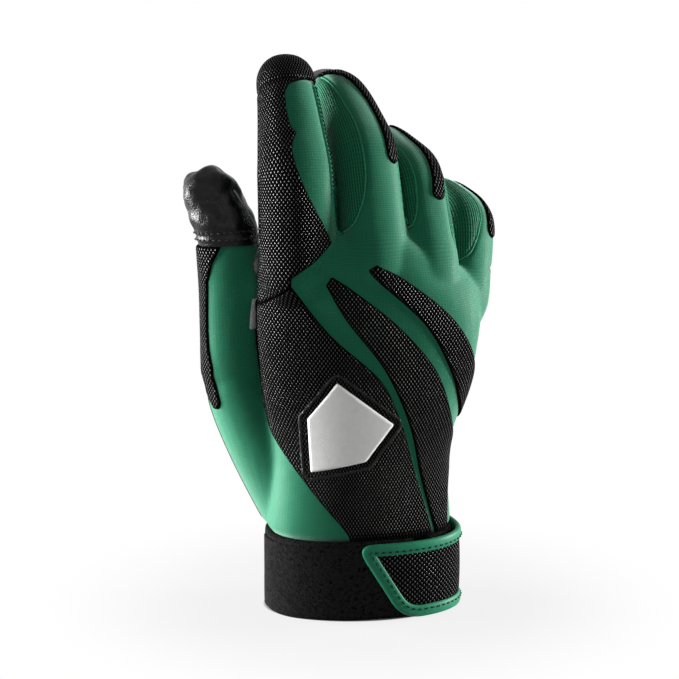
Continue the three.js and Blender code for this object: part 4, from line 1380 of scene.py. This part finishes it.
# %% Overlays on the back of the hand
# Places across and up the hand, from the wrist.
MAIN_RIGHT = [(-29.6, 128.2), (-15, 109.3), (3.5, 91.9), (11.8, 74.3), (17.2, 54.6), (23.7, 32.4), (25, 26)]
MAIN_LEFT = [(-9, 26), (-9.5, 33), (-20.3, 46.7), (-31.3, 62.2), (-36.5, 74), (-39, 95), (-40.5, 118)]
INNER_RIGHT = [
    (-14.3, 131.4), (-5.5, 125.4), (11.4, 111.3), (25.8, 93.5), (32.5, 73.6), (34.1, 59.8), (31.4, 46),
    (30.3, 26),
]
INNER_LEFT = [(26.5, 26), (19.3, 52.5), (14.6, 74.2), (5.2, 95.6), (-9.2, 114.9), (-16.5, 128.1)]
OUTER_RIGHT = [(2.2, 135.6), (13.5, 129.3), (31, 114.9), (40.6, 99.9), (42.2, 85.1), (37.2, 66.7)]
OUTER_LEFT = [(36.6, 68), (35, 80), (31.1, 93.7), (21.1, 111.9), (3.2, 128.9), (-0.9, 133.5)]
MAIN_PALM_LIMIT = 9.0
# Both sides of the outline, how far it reaches round to the palm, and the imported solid.
HAND_OVERLAYS = {
    "main_overlay": (MAIN_RIGHT, MAIN_LEFT, MAIN_PALM_LIMIT, "main_back_overlay"),
    "inner_stripe": (INNER_RIGHT, INNER_LEFT, PALM_LIMIT, "inner_stripe_overlay"),
    "outer_stripe": (OUTER_RIGHT, OUTER_LEFT, PALM_LIMIT, "outer_stripe_overlay"),
}

for name, (right, left, palm_limit, node) in HAND_OVERLAYS.items():
    woven(name, on_back([*spline(right), *spline(left)], palm_limit), [node])
print("overlays on the hand:", len(HAND_OVERLAYS))

# %% [markdown]
# A large woven panel covers the thumb side of the index finger and its tip, with a corner on the knuckle and
# a small notch at the middle knuckle. Narrow strips with round ends run along the other fingers, and one runs
# down the outer edge of the thumb. The web's leather, painted light grey as a painted highlight, comes round
# to the back at the thumb's root.

# %% Overlays on the fingers
# Angle and place along the finger.
INDEX_PANEL = [
    (117, 2.9), (78, 8.3), (47, 15), (58, 20.7), (75, 28.7), (91, 36.6), (101, 41.8), (106, 46.7),
    (103, 50.1), (95, 53.5), (104, 56), (109, 62.5), (108, 68.8), (96, 71.7), (60, 73.5), (20, 75),
    (-20, 76), (-20, 120), (222, 120), (222, 8), (200, 0), (196, -20), (121, -16),
]
INDEX_PANEL_ROOT = -18.0
INDEX_NODES = ["index_side_panel", "index_hand_overlay"]
# The middle line of a strip, and half its width.
EDGE_STRIPS = {
    "middle": ([(52, 42.5), (50, 57), (56, 68), (80, 78), (125, 83)], 3.0),
    "ring": ([(76, 30.5), (66, 41), (52, 74)], 2.9),
    "pinky": ([(58, 27.5), (50, 40), (44, 58)], 2.6),
}
THUMB_STRIP = [(158, 57), (162, 45), (168, 30), (170, 14), (162, 3), (152, -3), (141, -7), (135, -9)]
WEB_PATCH = [(22, 19), (62, 19.5), (58, 26), (52, 31), (22, 31)]
WEB_PATCH_RISE = 0.5
THUMB_STRIP_REACH = 24.0
# Place along the thumb, and half the strip's width.
THUMB_STRIP_HALF = [(-9, 2.4), (-3, 4), (5, 5.6), (38, 5.2), (45, 7), (52, 11)]

index_flat = flat_places("index", skin.values["index"])
index_field = outline_distance(index_flat, flat_outline("index", INDEX_PANEL))
join_start, join_end = np.array(MAIN_RIGHT[0]), np.array(MAIN_LEFT[-1])
join_way = unit(join_end - join_start)
above_join = (skin.points[:, [0, 2]] - join_start) @ np.array([join_way[1], -join_way[0]])
index_field = np.where(skin.points[:, 0] < join_start[0], np.maximum(index_field, -above_join), index_field)
index_field = on_digit("index", index_field, INDEX_PANEL_ROOT)
woven("index_panel", index_field, INDEX_NODES, index_flat)
for name, (line, half) in EDGE_STRIPS.items():
    flat = flat_places(name, skin.values[name])
    strip = line_distance(flat, flat_outline(name, spline(line))) - half
    strip = np.maximum(strip, flat[:, 1] - CAP_EDGE[name])
    woven(f"{name}_strip", on_digit(name, strip), [f"{name}_edge_overlay"], flat)
thumb_chart = skin.values["thumb"]
thumb_near = np.hypot(thumb_chart[:, 1], thumb_chart[:, 2]) < THUMB_STRIP_REACH
thumb_flat = flat_places("thumb", thumb_chart)
thumb_half = np.interp(thumb_flat[:, 1], *np.transpose(THUMB_STRIP_HALF))
thumb_field = line_distance(thumb_flat, flat_outline("thumb", spline(THUMB_STRIP))) - thumb_half
thumb_field = np.maximum(thumb_field, thumb_flat[:, 1] - CAP_EDGE["thumb"])
woven("thumb_strip", np.where(thumb_near, thumb_field, FAR_AWAY), ["thumb_outer_strip"], thumb_flat)
web_field = on_digit("thumb", outline_distance(thumb_flat, flat_outline("thumb", WEB_PATCH)))
# The web patch is coloured light grey too, a painted highlight on black leather.
overlay("web_patch", web_field, PAINTED_HIGHLIGHT_LEATHER, "black_leather", ["thumb_web_strip"], rise=WEB_PATCH_RISE)
print("overlays on the fingers:", 3 + len(EDGE_STRIPS))

# %% [markdown]
# Seams are held by thread. A sewn line is drawn on the flat sheet of a finger, as the panels are, and laid
# back on the skin. It is raised as a thin ridge or set with single stitches, and split where the finger
# bends, into the same parts as the panels under it.

# %% Sewn lines
RIDGE_SIDES = 8
RIDGE_STEP = 0.6
NEIGHBOURS = 6
NEAREST_LIMIT = 0.1
EASE_ROUNDS = 4
SHORTEST_RUN = 3
STITCH_BOW = 1.1
STITCH_RINGS = np.array([0.25, 0.85, 1.0, 0.85, 0.25])


def even(line, step):
    """The same line with points at an even step."""
    walked = walk(line)
    return between(np.linspace(0, walked[-1], int(walked[-1] / step) + 1), walked, line)


def ease(points):
    """The same line without its small jumps."""
    for _ in range(EASE_ROUNDS):
        points = np.concatenate([points[:1], (points[:-2] + 2 * points[1:-1] + points[2:]) / 4, points[-1:]])
    return points


def on_skin(name, corners):
    """Points on the skin, ways out of it and places along the finger, for a line on the flat sheet."""
    chosen = np.flatnonzero(near_digit(name, WIDE_REACH))
    flat = flat_places(name, skin.values[name])[chosen]
    tree = tree_of(np.column_stack([flat, np.zeros(len(flat))]))
    line = even(np.array(flat_outline(name, corners)), RIDGE_STEP)
    points, outs = [], []
    for across, along in line:
        found = tree.find_n((across, along, 0), NEIGHBOURS)
        weights = np.array([1 / (away + NEAREST_LIMIT) ** 2 for _, _, away in found])
        near = chosen[[number for _, number, _ in found]]
        points.append(weights @ skin.points[near] / weights.sum())
        outs.append(weights @ skin.values["normal"][near])
    return ease(np.array(points)), unit(ease(np.array(outs))), line[:, 1]


def tube(points, outs, radii):
    """A round tube along a line, with a radius at each point."""
    ahead = unit(np.gradient(points, axis=0))
    beside = unit(np.cross(outs, ahead))
    up = np.cross(ahead, beside)
    turns = all_round(RIDGE_SIDES)[:, None]
    rings = [
        middle + radius * (side * np.cos(turns) + top * np.sin(turns))
        for middle, side, top, radius in zip(points, beside, up, np.broadcast_to(radii, len(points)))
    ]
    return loft(rings)


def stitch_row(points, outs, pitch, length, radius, slant=0.0):
    """Short bowed threads along a line: the points and triangles of all of them."""
    walked = walk(points)
    ahead = unit(np.gradient(points, axis=0))
    reach = np.linspace(-0.5, 0.5, len(STITCH_RINGS))[:, None]
    bow = radius * (STITCH_BOW - 4 * STITCH_BOW * reach * reach)
    stitches = []
    for place in np.arange(pitch / 2, walked[-1], pitch):
        middle, way, out = (between(place, walked, rows) for rows in (points, ahead, outs))
        way = unit(way + np.cross(out, way) * slant)
        line = middle + way * length * reach + out * bow
        stitches.append(tube(line, np.tile(out, (len(line), 1)), radius * STITCH_RINGS))
    return joined(stitches)


def runs(name, along):
    """The stretches of a line that lie in each bending part, each one point longer to meet the next."""
    lower, upper = BENDS[name][:2]
    part = np.where(along > upper, UPPER, np.where(along > lower, LOWER, HAND))
    cuts = [0, *(np.flatnonzero(np.diff(part)) + 1), len(along)]
    pairs = [(start, end) for start, end in zip(cuts[:-1], cuts[1:]) if end - start > SHORTEST_RUN]
    return [(part[start], slice(start, end + 1)) for start, end in pairs]


def sew(label, name, corners, make, finish, slot, node):
    """Lay a line on a finger and build it with make, in one piece for each bending part."""
    points, outs, along = on_skin(name, corners)
    for part, stretch in runs(name, along):
        some, triangles = make(points[stretch], outs[stretch])
        piece = add_mesh(f"{label}_{PART_WORDS[part]}", some, triangles, finish)
        attach(piece, name, part)
        stand_for(piece, slot, node)


print("a ridge has", RIDGE_SIDES, "sides")

# %% Welts and stitches on the fingers
WELT_RADIUS = 0.95
WELT_RISE = 0.25
PIPING_RADIUS = 0.42


def welt(points, outs):
    return tube(points + outs * WELT_RISE, outs, WELT_RADIUS)


def welt_thread(points, outs):
    top = points + outs * (WELT_RISE + WELT_RADIUS)
    return stitch_row(top, outs, pitch=1.7, length=1.9, radius=0.26, slant=0.7)


def piping(points, outs):
    return tube(points, outs, PIPING_RADIUS)


for (name, side), seam in SIDE_SEAMS.items():
    node = node_of(f"{name}_{side}", UPPER)
    line = [(angle, s) for angle, s in spline(seam) if s < CAP_EDGE[name]]
    if name == "index":
        sew("index_welt", name, line, welt, GREEN_BINDING, "green_knit", node)
        sew("index_welt_thread", name, line, welt_thread, DARK_GREEN_THREAD, "green_knit", node)
    else:
        sew(f"{name}_{side}_piping", name, line, piping, GREEN_THREAD, "green_knit", node)
print("sewn side seams:", len(SIDE_SEAMS))

# %% Stitches on the thumb's cap
CAP_ROWS = (CAP_EDGE["thumb"] + 2.4, CAP_EDGE["thumb"] + 5.0)
CAP_ROW_ANGLES = (30, 210)
CAP_ROW_POINTS = 12
THUMB_SEAM = [(22, 30), (22, 38), (24, 50), (28, 62), (36, 72)]


def cap_thread(points, outs):
    return stitch_row(points, outs, pitch=2.4, length=1.9, radius=0.3)


for number, row in enumerate(CAP_ROWS):
    line = [(angle, row) for angle in np.linspace(*CAP_ROW_ANGLES, CAP_ROW_POINTS)]
    sew(f"cap_row_{number}", "thumb", line, cap_thread, BLACK_THREAD, "black_leather", "thumb_tip_cap")
# The seam's thread is coloured light grey, a painted highlight on black thread.
sew("thumb_seam", "thumb", spline(THUMB_SEAM), piping, PAINTED_GLINT_THREAD, "black_leather", "thumb_web_strip")
print("rows on the cap:", len(CAP_ROWS))

# %% [markdown]
# The badge is a plain home plate, five sides and no words, embroidered in white thread. It stands on the
# main overlay, turned along the line of the hand, with a low raised line round it.

# %% Badge
BADGE_CENTRE = np.array([-11.8, 71.1])
BADGE_TURN = math.radians(-38)
BADGE_HALF_WIDTH = 13.5
BADGE_TOP = 15.5
BADGE_SHOULDER = -2.0
BADGE_POINT = -17.5
BADGE_RISE = 0.8
BORDER_AWAY = 2.6
BORDER_HALF = 0.6
BORDER_LIFT = OVERLAY_RISE - 0.1
BORDER_RISE = 0.6


def badge_outline():
    turn = np.array([
        [math.cos(BADGE_TURN), -math.sin(BADGE_TURN)],
        [math.sin(BADGE_TURN), math.cos(BADGE_TURN)],
    ])
    plate = [
        (-BADGE_HALF_WIDTH, BADGE_TOP),
        (BADGE_HALF_WIDTH, BADGE_TOP),
        (BADGE_HALF_WIDTH, BADGE_SHOULDER),
        (0, BADGE_POINT),
        (-BADGE_HALF_WIDTH, BADGE_SHOULDER),
    ]
    return [BADGE_CENTRE + turn @ np.array(corner) for corner in plate]


badge_field = on_back(badge_outline())
overlay("badge", badge_field, WHITE_THREAD, "white_thread", ["badge_patch"], OVERLAY_RISE, BADGE_RISE)
border_field = np.abs(badge_field - BORDER_AWAY) - BORDER_HALF
border_nodes = ["main_back_overlay"]
overlay("badge_border", border_field, BLACK_LEATHER, "black_weave", border_nodes, BORDER_LIFT, BORDER_RISE)
print("badge at", BADGE_CENTRE)

# %% [markdown]
# The cuff is a band of brushed pile with a slit under the strap. The strap is sewn to the cuff on the
# little-finger side, wraps over the slit and sticks to the loop patch on the cuff. Both follow the rounded
# section of the wrist, so a place on them is an angle round the wrist, a height and a distance out.

# %% Wrist coordinates
WRIST_WIDTH = 69.2
WRIST_DEPTH = 48.0
BAND_LAYER = (-1.6, 0.8)
LOOP_LAYER = (1.1, 1.9)
HOOK_LAYER = (2.3, 3.1)
STRAP_LAYER = (3.4, 5.0)
SLIT_ACROSS = 20.5
SLIT_HALF = 3.5
STRAP_ROOT_DEPTH = 3.0
STRAP_SEWN_ANGLE = math.radians(24)
STRAP_SEWN_DROP = 3.0
DROP_LENGTH = 20.0
ARC_ANGLES = np.radians(np.linspace(40, -200, 1300))


def wrist_point(angle, out, height):
    reach = rounded(angle, WRIST_WIDTH / 2 + out, WRIST_DEPTH / 2 + out, HAND_POWER)
    across = WRIST_SHIFT + reach * np.cos(angle)
    return np.stack(np.broadcast_arrays(across, reach * np.sin(angle), height), -1)


ARC_LINE = wrist_point(ARC_ANGLES, STRAP_LAYER[0], 0.0)
ARC_PLACES = walk(ARC_LINE)
STRAP_ROOT_ANGLE = math.asin(STRAP_ROOT_DEPTH / (WRIST_WIDTH / 2))


def arc_of_angle(angle):
    return float(np.interp(-angle, -ARC_ANGLES, ARC_PLACES))


def angle_of_arc(arc):
    return np.interp(arc, ARC_PLACES, ARC_ANGLES)


def arc_across(across):
    """How far round the strap lies over a place across the back of the wrist."""
    back = ARC_LINE[:, 1] < 0
    return float(np.interp(-across, -ARC_LINE[back, 0], ARC_PLACES[back]))


STRAP_ROOT = arc_of_angle(STRAP_ROOT_ANGLE)
STRAP_SEWN = arc_of_angle(STRAP_SEWN_ANGLE)
DROP_START = STRAP_ROOT + DROP_LENGTH


def strap_point(arc, out, height):
    """A point on the strap, which comes down onto the cuff where it is sewn to it."""
    drop = STRAP_SEWN_DROP * smooth((DROP_START - arc) / (DROP_START - STRAP_SEWN))
    return wrist_point(angle_of_arc(arc), out - drop, height)


print("strap sewn at", round(STRAP_SEWN, 1), "and free from", round(STRAP_ROOT, 1))

# %% Bands round the wrist
CORNER_POINTS = 6
LONGEST_SIDE = 1.6
CUFF_STEPS = 220
CUFF_ROUNDING = 1.1
CUFF_EXTRA_HEIGHT = 0.8
CUFF_EXTRA_WALL = 0.5
# How far the pile waves in and out, and how fine the waves are round the wrist and up it.
CUFF_WAVES = 0.5
WAVES_ROUND = 2
WAVES_UP = 9
PATCH_STEPS = 90
PATCH_ROUNDING = 0.35
PATCH_AFTER_SLIT = 2.0
LOOP_HEIGHTS = (1.2, CUFF_HEIGHT - 1.2)
HOOK_HEIGHTS = (5.5, 25.4)
HOOK_END_ACROSS = 9.0


def band_profile(low, high, inner, outer, rounding):
    """A flat bar's section with round corners, as places out and up."""
    corners = [(outer, high, 0), (inner, high, 90), (inner, low, 180), (outer, low, 270)]
    section = []
    for out, up, start in corners:
        middle_out = out - rounding if out == outer else out + rounding
        middle_up = up - rounding if up == high else up + rounding
        for angle in np.radians(np.linspace(start, start + 90, CORNER_POINTS)):
            section.append((middle_out + rounding * math.cos(angle), middle_up + rounding * math.sin(angle)))
    return subdivide(np.array(section))


def subdivide(section):
    """Add points along the long sides of a section."""
    points = []
    for start, end in zip(section, np.roll(section, -1, axis=0)):
        steps = max(1, int(math.dist(start, end) / LONGEST_SIDE))
        points += [start + (end - start) * k / steps for k in range(steps)]
    return np.array(points)


def band(name, angles, profile, finish, waves=0.0):
    rings = []
    for angle in angles:
        place = (math.cos(angle) * WAVES_ROUND, math.sin(angle) * WAVES_ROUND)
        lift = waves * np.array([noise.noise((*place, up / WAVES_UP)) for up in profile[:, 1]])
        rings.append(wrist_point(angle, profile[:, 0] + lift, profile[:, 1]))
    points, triangles = loft(rings)
    return add_mesh(name, points, triangles[:, ::-1], finish)


def cuff_band():
    start = angle_of_arc(arc_across(SLIT_ACROSS - SLIT_HALF))
    end = angle_of_arc(arc_across(SLIT_ACROSS + SLIT_HALF)) - TURN
    top = CUFF_HEIGHT + CUFF_EXTRA_HEIGHT
    profile = band_profile(0.0, top, BAND_LAYER[0], BAND_LAYER[1] + CUFF_EXTRA_WALL, CUFF_ROUNDING)
    piece = band("cuff_pile_band", np.linspace(start, end, CUFF_STEPS), profile, CUFF_PILE, CUFF_WAVES)
    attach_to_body(piece, "hand")
    stand_for(piece, "black_loop", "cuff_band")


def flat_patch(name, end, heights, layer, finish, body, node):
    """A patch that starts beside the slit and goes round the wrist to an end."""
    start = arc_across(SLIT_ACROSS - SLIT_HALF - PATCH_AFTER_SLIT)
    profile = band_profile(*heights, *layer, PATCH_ROUNDING)
    piece = band(name, angle_of_arc(np.linspace(start, end, PATCH_STEPS)), profile, finish)
    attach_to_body(piece, body)
    stand_for(piece, "black_loop", node)


cuff_band()
loop_end = arc_of_angle(-math.pi)
flat_patch("loop_patch", loop_end, LOOP_HEIGHTS, LOOP_LAYER, CUFF_PILE, "hand", "cuff_loop_patch")
hook_end = arc_across(HOOK_END_ACROSS)
flat_patch("hook_patch", hook_end, HOOK_HEIGHTS, HOOK_LAYER, HOOK_PILE, "strap", "strap_hook_patch")
print("patches end at", round(loop_end, 1), "and", round(hook_end, 1))

# %% [markdown]
# The strap's face is woven, and a coated green binding is folded over its edge and stitched down. Its free
# end is cut at a slant. The binding is one profile swept along the strap's edge on the flat, and the flat is
# then wrapped round the wrist.

# %% Strap
TAB_TOP = -7.5
TAB_SLANT = 17.5
TAB_CORNER = 7.6
BINDING_WIDTH = 4.7
BINDING_RISE = 0.5
BINDING_STITCH = 3.1
BINDING_SIDES = 20
BINDING_UNDER = 0.2
BINDING_FLATNESS = 0.6
BINDING_ROUNDNESS = 0.8
EDGE_STEP = 0.7
CORNER_STEPS = 9
STITCH_SUNK = 0.2
STITCH_FREE_ENDS = 4
FACE_ROWS = 24
FACE_COLUMNS = 90
FACE_TUCKED = 0.7
FACE_END_GAP = 0.2
FACE_SUNK = 0.3
FACE_CROWN = 0.4
CROWN_POWER = 0.6
# A distance from the nearest seam that no finish takes for an edge.
NO_SEAM = 30.0
HINGE_BEFORE = 5.0
HINGE_AFTER = 7.0
# The strap's lower and upper edge, where it is sewn and at its free end.
STRAP_LOW = (0.9, 0.7)
STRAP_HIGH = (CUFF_HEIGHT + 1.2, CUFF_HEIGHT + 0.6)
TAB_ARC = arc_across(TAB_TOP)
TAB_LOW_ARC = arc_across(TAB_TOP + TAB_SLANT)


def strap_heights(arc, share):
    """The height of a place on the strap: share 0 is its lower edge and 1 its upper edge."""
    along = (np.asarray(arc) - STRAP_SEWN) / (TAB_ARC - STRAP_SEWN)
    low, high = (start + (end - start) * along for start, end in (STRAP_LOW, STRAP_HIGH))
    return low + (high - low) * share


def strap_edge():
    """The strap's edge on the flat, from its root along the bottom, up the slant and back along the top."""
    flat = [(STRAP_SEWN, 0), (TAB_LOW_ARC, 0), (TAB_ARC, 1), (STRAP_SEWN, 1)]
    corners = [np.array([arc, float(strap_heights(arc, share))]) for arc, share in flat]
    line = [corners[0]]
    for before, corner, after in zip(corners, corners[1:], corners[2:]):
        start = corner + unit(before - corner) * TAB_CORNER
        end = corner + unit(after - corner) * TAB_CORNER
        for k in np.linspace(0, 1, CORNER_STEPS):
            line.append((1 - k) ** 2 * start + 2 * k * (1 - k) * corner + k * k * end)
    line.append(corners[3])
    return even(np.array(line), EDGE_STEP)


def inward(line):
    """Unit vectors from the strap's edge to its middle, on the flat."""
    ahead = unit(np.gradient(line, axis=0))
    return np.stack([-ahead[:, 1], ahead[:, 0]], 1)


STRAP_EDGE = strap_edge()
STRAP_INWARD = inward(STRAP_EDGE)


def squared(values, power):
    """Push values between -1 and 1 to the ends, more for a lower power."""
    return np.sign(values) * np.abs(values) ** power


def strap_binding():
    low, high = STRAP_LAYER[0] - BINDING_UNDER, STRAP_LAYER[1] + BINDING_RISE
    turns = all_round(BINDING_SIDES)
    flat = squared(np.cos(turns), BINDING_FLATNESS)
    thick = squared(np.sin(turns), BINDING_ROUNDNESS)
    deep = BINDING_WIDTH / 2 * (1 + flat)
    out = (low + high) / 2 + (high - low) / 2 * thick
    rings = []
    for place, into in zip(STRAP_EDGE, STRAP_INWARD):
        spots = place + into * deep[:, None]
        rings.append(strap_point(spots[:, 0], out, spots[:, 1]))
    points, triangles = loft(rings)
    return add_mesh("binding", points, triangles, GREEN_BINDING)


def strap_face():
    """The woven face between the bound edges, as a closed sheet."""
    inset = (BINDING_WIDTH - FACE_TUCKED) / (STRAP_HIGH[1] - STRAP_LOW[1])
    share = np.linspace(inset, 1 - inset, FACE_ROWS)
    ends = TAB_LOW_ARC + (TAB_ARC - TAB_LOW_ARC) * share - BINDING_WIDTH - FACE_END_GAP
    spread = np.linspace(0, 1, FACE_COLUMNS)[:, None]
    arcs = STRAP_SEWN + spread * (ends - STRAP_SEWN)
    heights = strap_heights(arcs, share)
    crown = FACE_CROWN * np.sin(math.pi * np.linspace(0, 1, FACE_ROWS)) ** CROWN_POWER
    layers = (STRAP_LAYER[1] - FACE_SUNK + crown, STRAP_LAYER[0])
    points = np.concatenate([strap_point(arcs, out, heights).reshape(-1, 3) for out in layers])
    a = (np.arange(FACE_COLUMNS - 1)[:, None] * FACE_ROWS + np.arange(FACE_ROWS - 1)).ravel()
    b = a + FACE_ROWS
    face = np.concatenate([np.stack([a, a + 1, b], 1), np.stack([a + 1, b + 1, b], 1)])
    cloth = np.column_stack([arcs.ravel(), heights.ravel(), np.full(arcs.size, NO_SEAM)])
    return add_mesh("strap_face", points, two_layers(face, arcs.size), STRAP_WEAVE, np.tile(cloth, (2, 1)))


def binding_thread():
    flat = (STRAP_EDGE + STRAP_INWARD * BINDING_STITCH)[STITCH_FREE_ENDS:-STITCH_FREE_ENDS]
    high = STRAP_LAYER[1] + BINDING_RISE
    points, above = (strap_point(flat[:, 0], out, flat[:, 1]) for out in (high - STITCH_SUNK, high))
    stitches = stitch_row(points, unit(above - points), pitch=2.7, length=1.9, radius=0.34)
    return add_mesh("binding_thread", *stitches, DARK_GREEN_THREAD)


HINGE_START = strap_point(STRAP_ROOT - HINGE_BEFORE, STRAP_LAYER[0], CUFF_HEIGHT / 2)
HINGE_END = strap_point(STRAP_ROOT + HINGE_AFTER, STRAP_LAYER[0], CUFF_HEIGHT / 2)
for piece, slot, node in (
    (strap_binding(), "green_binding", "strap_binding"),
    (binding_thread(), "green_binding", "strap_binding"),
    (strap_face(), "black_weave", "strap_panel"),
):
    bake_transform(piece)
    stand_for(piece, slot, node)
print("strap edge:", len(STRAP_EDGE), "steps")

# %% [markdown]
# The glove is shown on a plain white sweep. A soft lamp on each side gives the bright edges that show its
# round shape. One more from behind draws the rim of the thumb, a small one on the right sets glints on the
# weave, and weak ones in front and above fill the middle. The floor is white to the camera, but still takes
# the glove's shadow. Inside the cuff and in a thin ring round it, it loses its white glow and shows only its
# grey colour and the real shadow, a painted shadow under the cuff.

# %% Floor and light
FLOOR_SIZE = 6.0
WHITE_FROM = (0.05, 0.13)
SHADOW_SHARE = 0.82
# How far out the floor keeps the painted shadow under the cuff, in half widths of the wrist.
DARK_TO = (1.07, 1.12)
LAMP_AIM = (0, 0, 0.1)
# Place, size and power.
LAMPS = {
    "left": ((-1.0, 0.12, 0.1), 0.32, 26.0),
    "right": ((1.0, 0.2, 0.3), 0.4, 10.0),
    "left_rim": ((-0.85, 0.45, 0.1), 0.3, 28.0),
    "right_glint": ((0.95, -0.05, 0.11), 0.2, 17.0),
    "front": ((-0.15, -1.4, 0.5), 0.8, 3.4),
    "above": ((0.0, -0.1, 1.2), 0.6, 1.0),
}
WORLD_LIGHT = 0.14
FLOOR_SHADE = 0.35


def seen(nodes):
    """1 for light that goes to the camera, straight or by a reflection, and 0 for light on the glove."""
    ways = ("Is Camera Ray", "Is Glossy Ray", "Is Transmission Ray")
    straight, mirrored, passed = nodes.several("ShaderNodeLightPath", {}, ways)
    return straight.above(mirrored).above(passed)


def plain_floor():
    points = np.array([(x, y, 0) for x in (-1, 1) for y in (-1, 1)], float) * FLOOR_SIZE / 2 / MM
    mesh = mesh_of("floor", points - ORIGIN, np.array([(0, 2, 3), (0, 3, 1)]))
    floor = bpy.data.objects.new("floor", mesh)
    floor.location = ORIGIN * MM
    bpy.context.scene.collection.objects.link(floor)
    paint = Paint("floor_white", roughness=0.9)
    place = paint.node("ShaderNodeTexCoord", {}, {}, "Object")
    paint.finish((FLOOR_SHADE, FLOOR_SHADE, FLOOR_SHADE, 1))
    glow = paint.node("ShaderNodeEmission", {}, {"Color": (1, 1, 1, 1), "Strength": 1.0})
    in_cuffs = (2 / (WRIST_WIDTH * MM), 2 / (WRIST_DEPTH * MM), 0)
    scaled = paint.node("ShaderNodeVectorMath", {"operation": "MULTIPLY"}, {0: place, 1: in_cuffs}, "Vector")
    white = place.length().fade(*WHITE_FROM) * (1 - SHADOW_SHARE) + SHADOW_SHARE
    # Painted shadow: inside the cuff and just round it the floor loses its white glow.
    paint.cover(seen(paint) * scaled.length().fade(*DARK_TO) * white, glow)
    mesh.materials.append(paint.material)


def lamp(name, place, size, power):
    data = bpy.data.lights.new(name, "AREA")
    data.shape = "DISK"
    data.size = size
    data.energy = power
    light = bpy.data.objects.new(name, data)
    light.location = place
    light.rotation_euler = (Vector(LAMP_AIM) - Vector(place)).to_track_quat("-Z", "Y").to_euler()
    bpy.context.scene.collection.objects.link(light)


def white_world():
    world = bpy.data.worlds.new("white_room")
    world.use_nodes = True
    nodes = Nodes(world.node_tree)
    background = nodes.tree.nodes["Background"]
    background.inputs["Color"].default_value = (1, 1, 1, 1)
    nodes.join(seen(nodes) * (1 - WORLD_LIGHT) + WORLD_LIGHT, background.inputs["Strength"])
    bpy.context.scene.world = world


plain_floor()
for name, (place, size, power) in LAMPS.items():
    lamp(name, place, size, power)
white_world()
bpy.context.scene.view_settings.view_transform = "Standard"
print("lamps:", len(LAMPS))
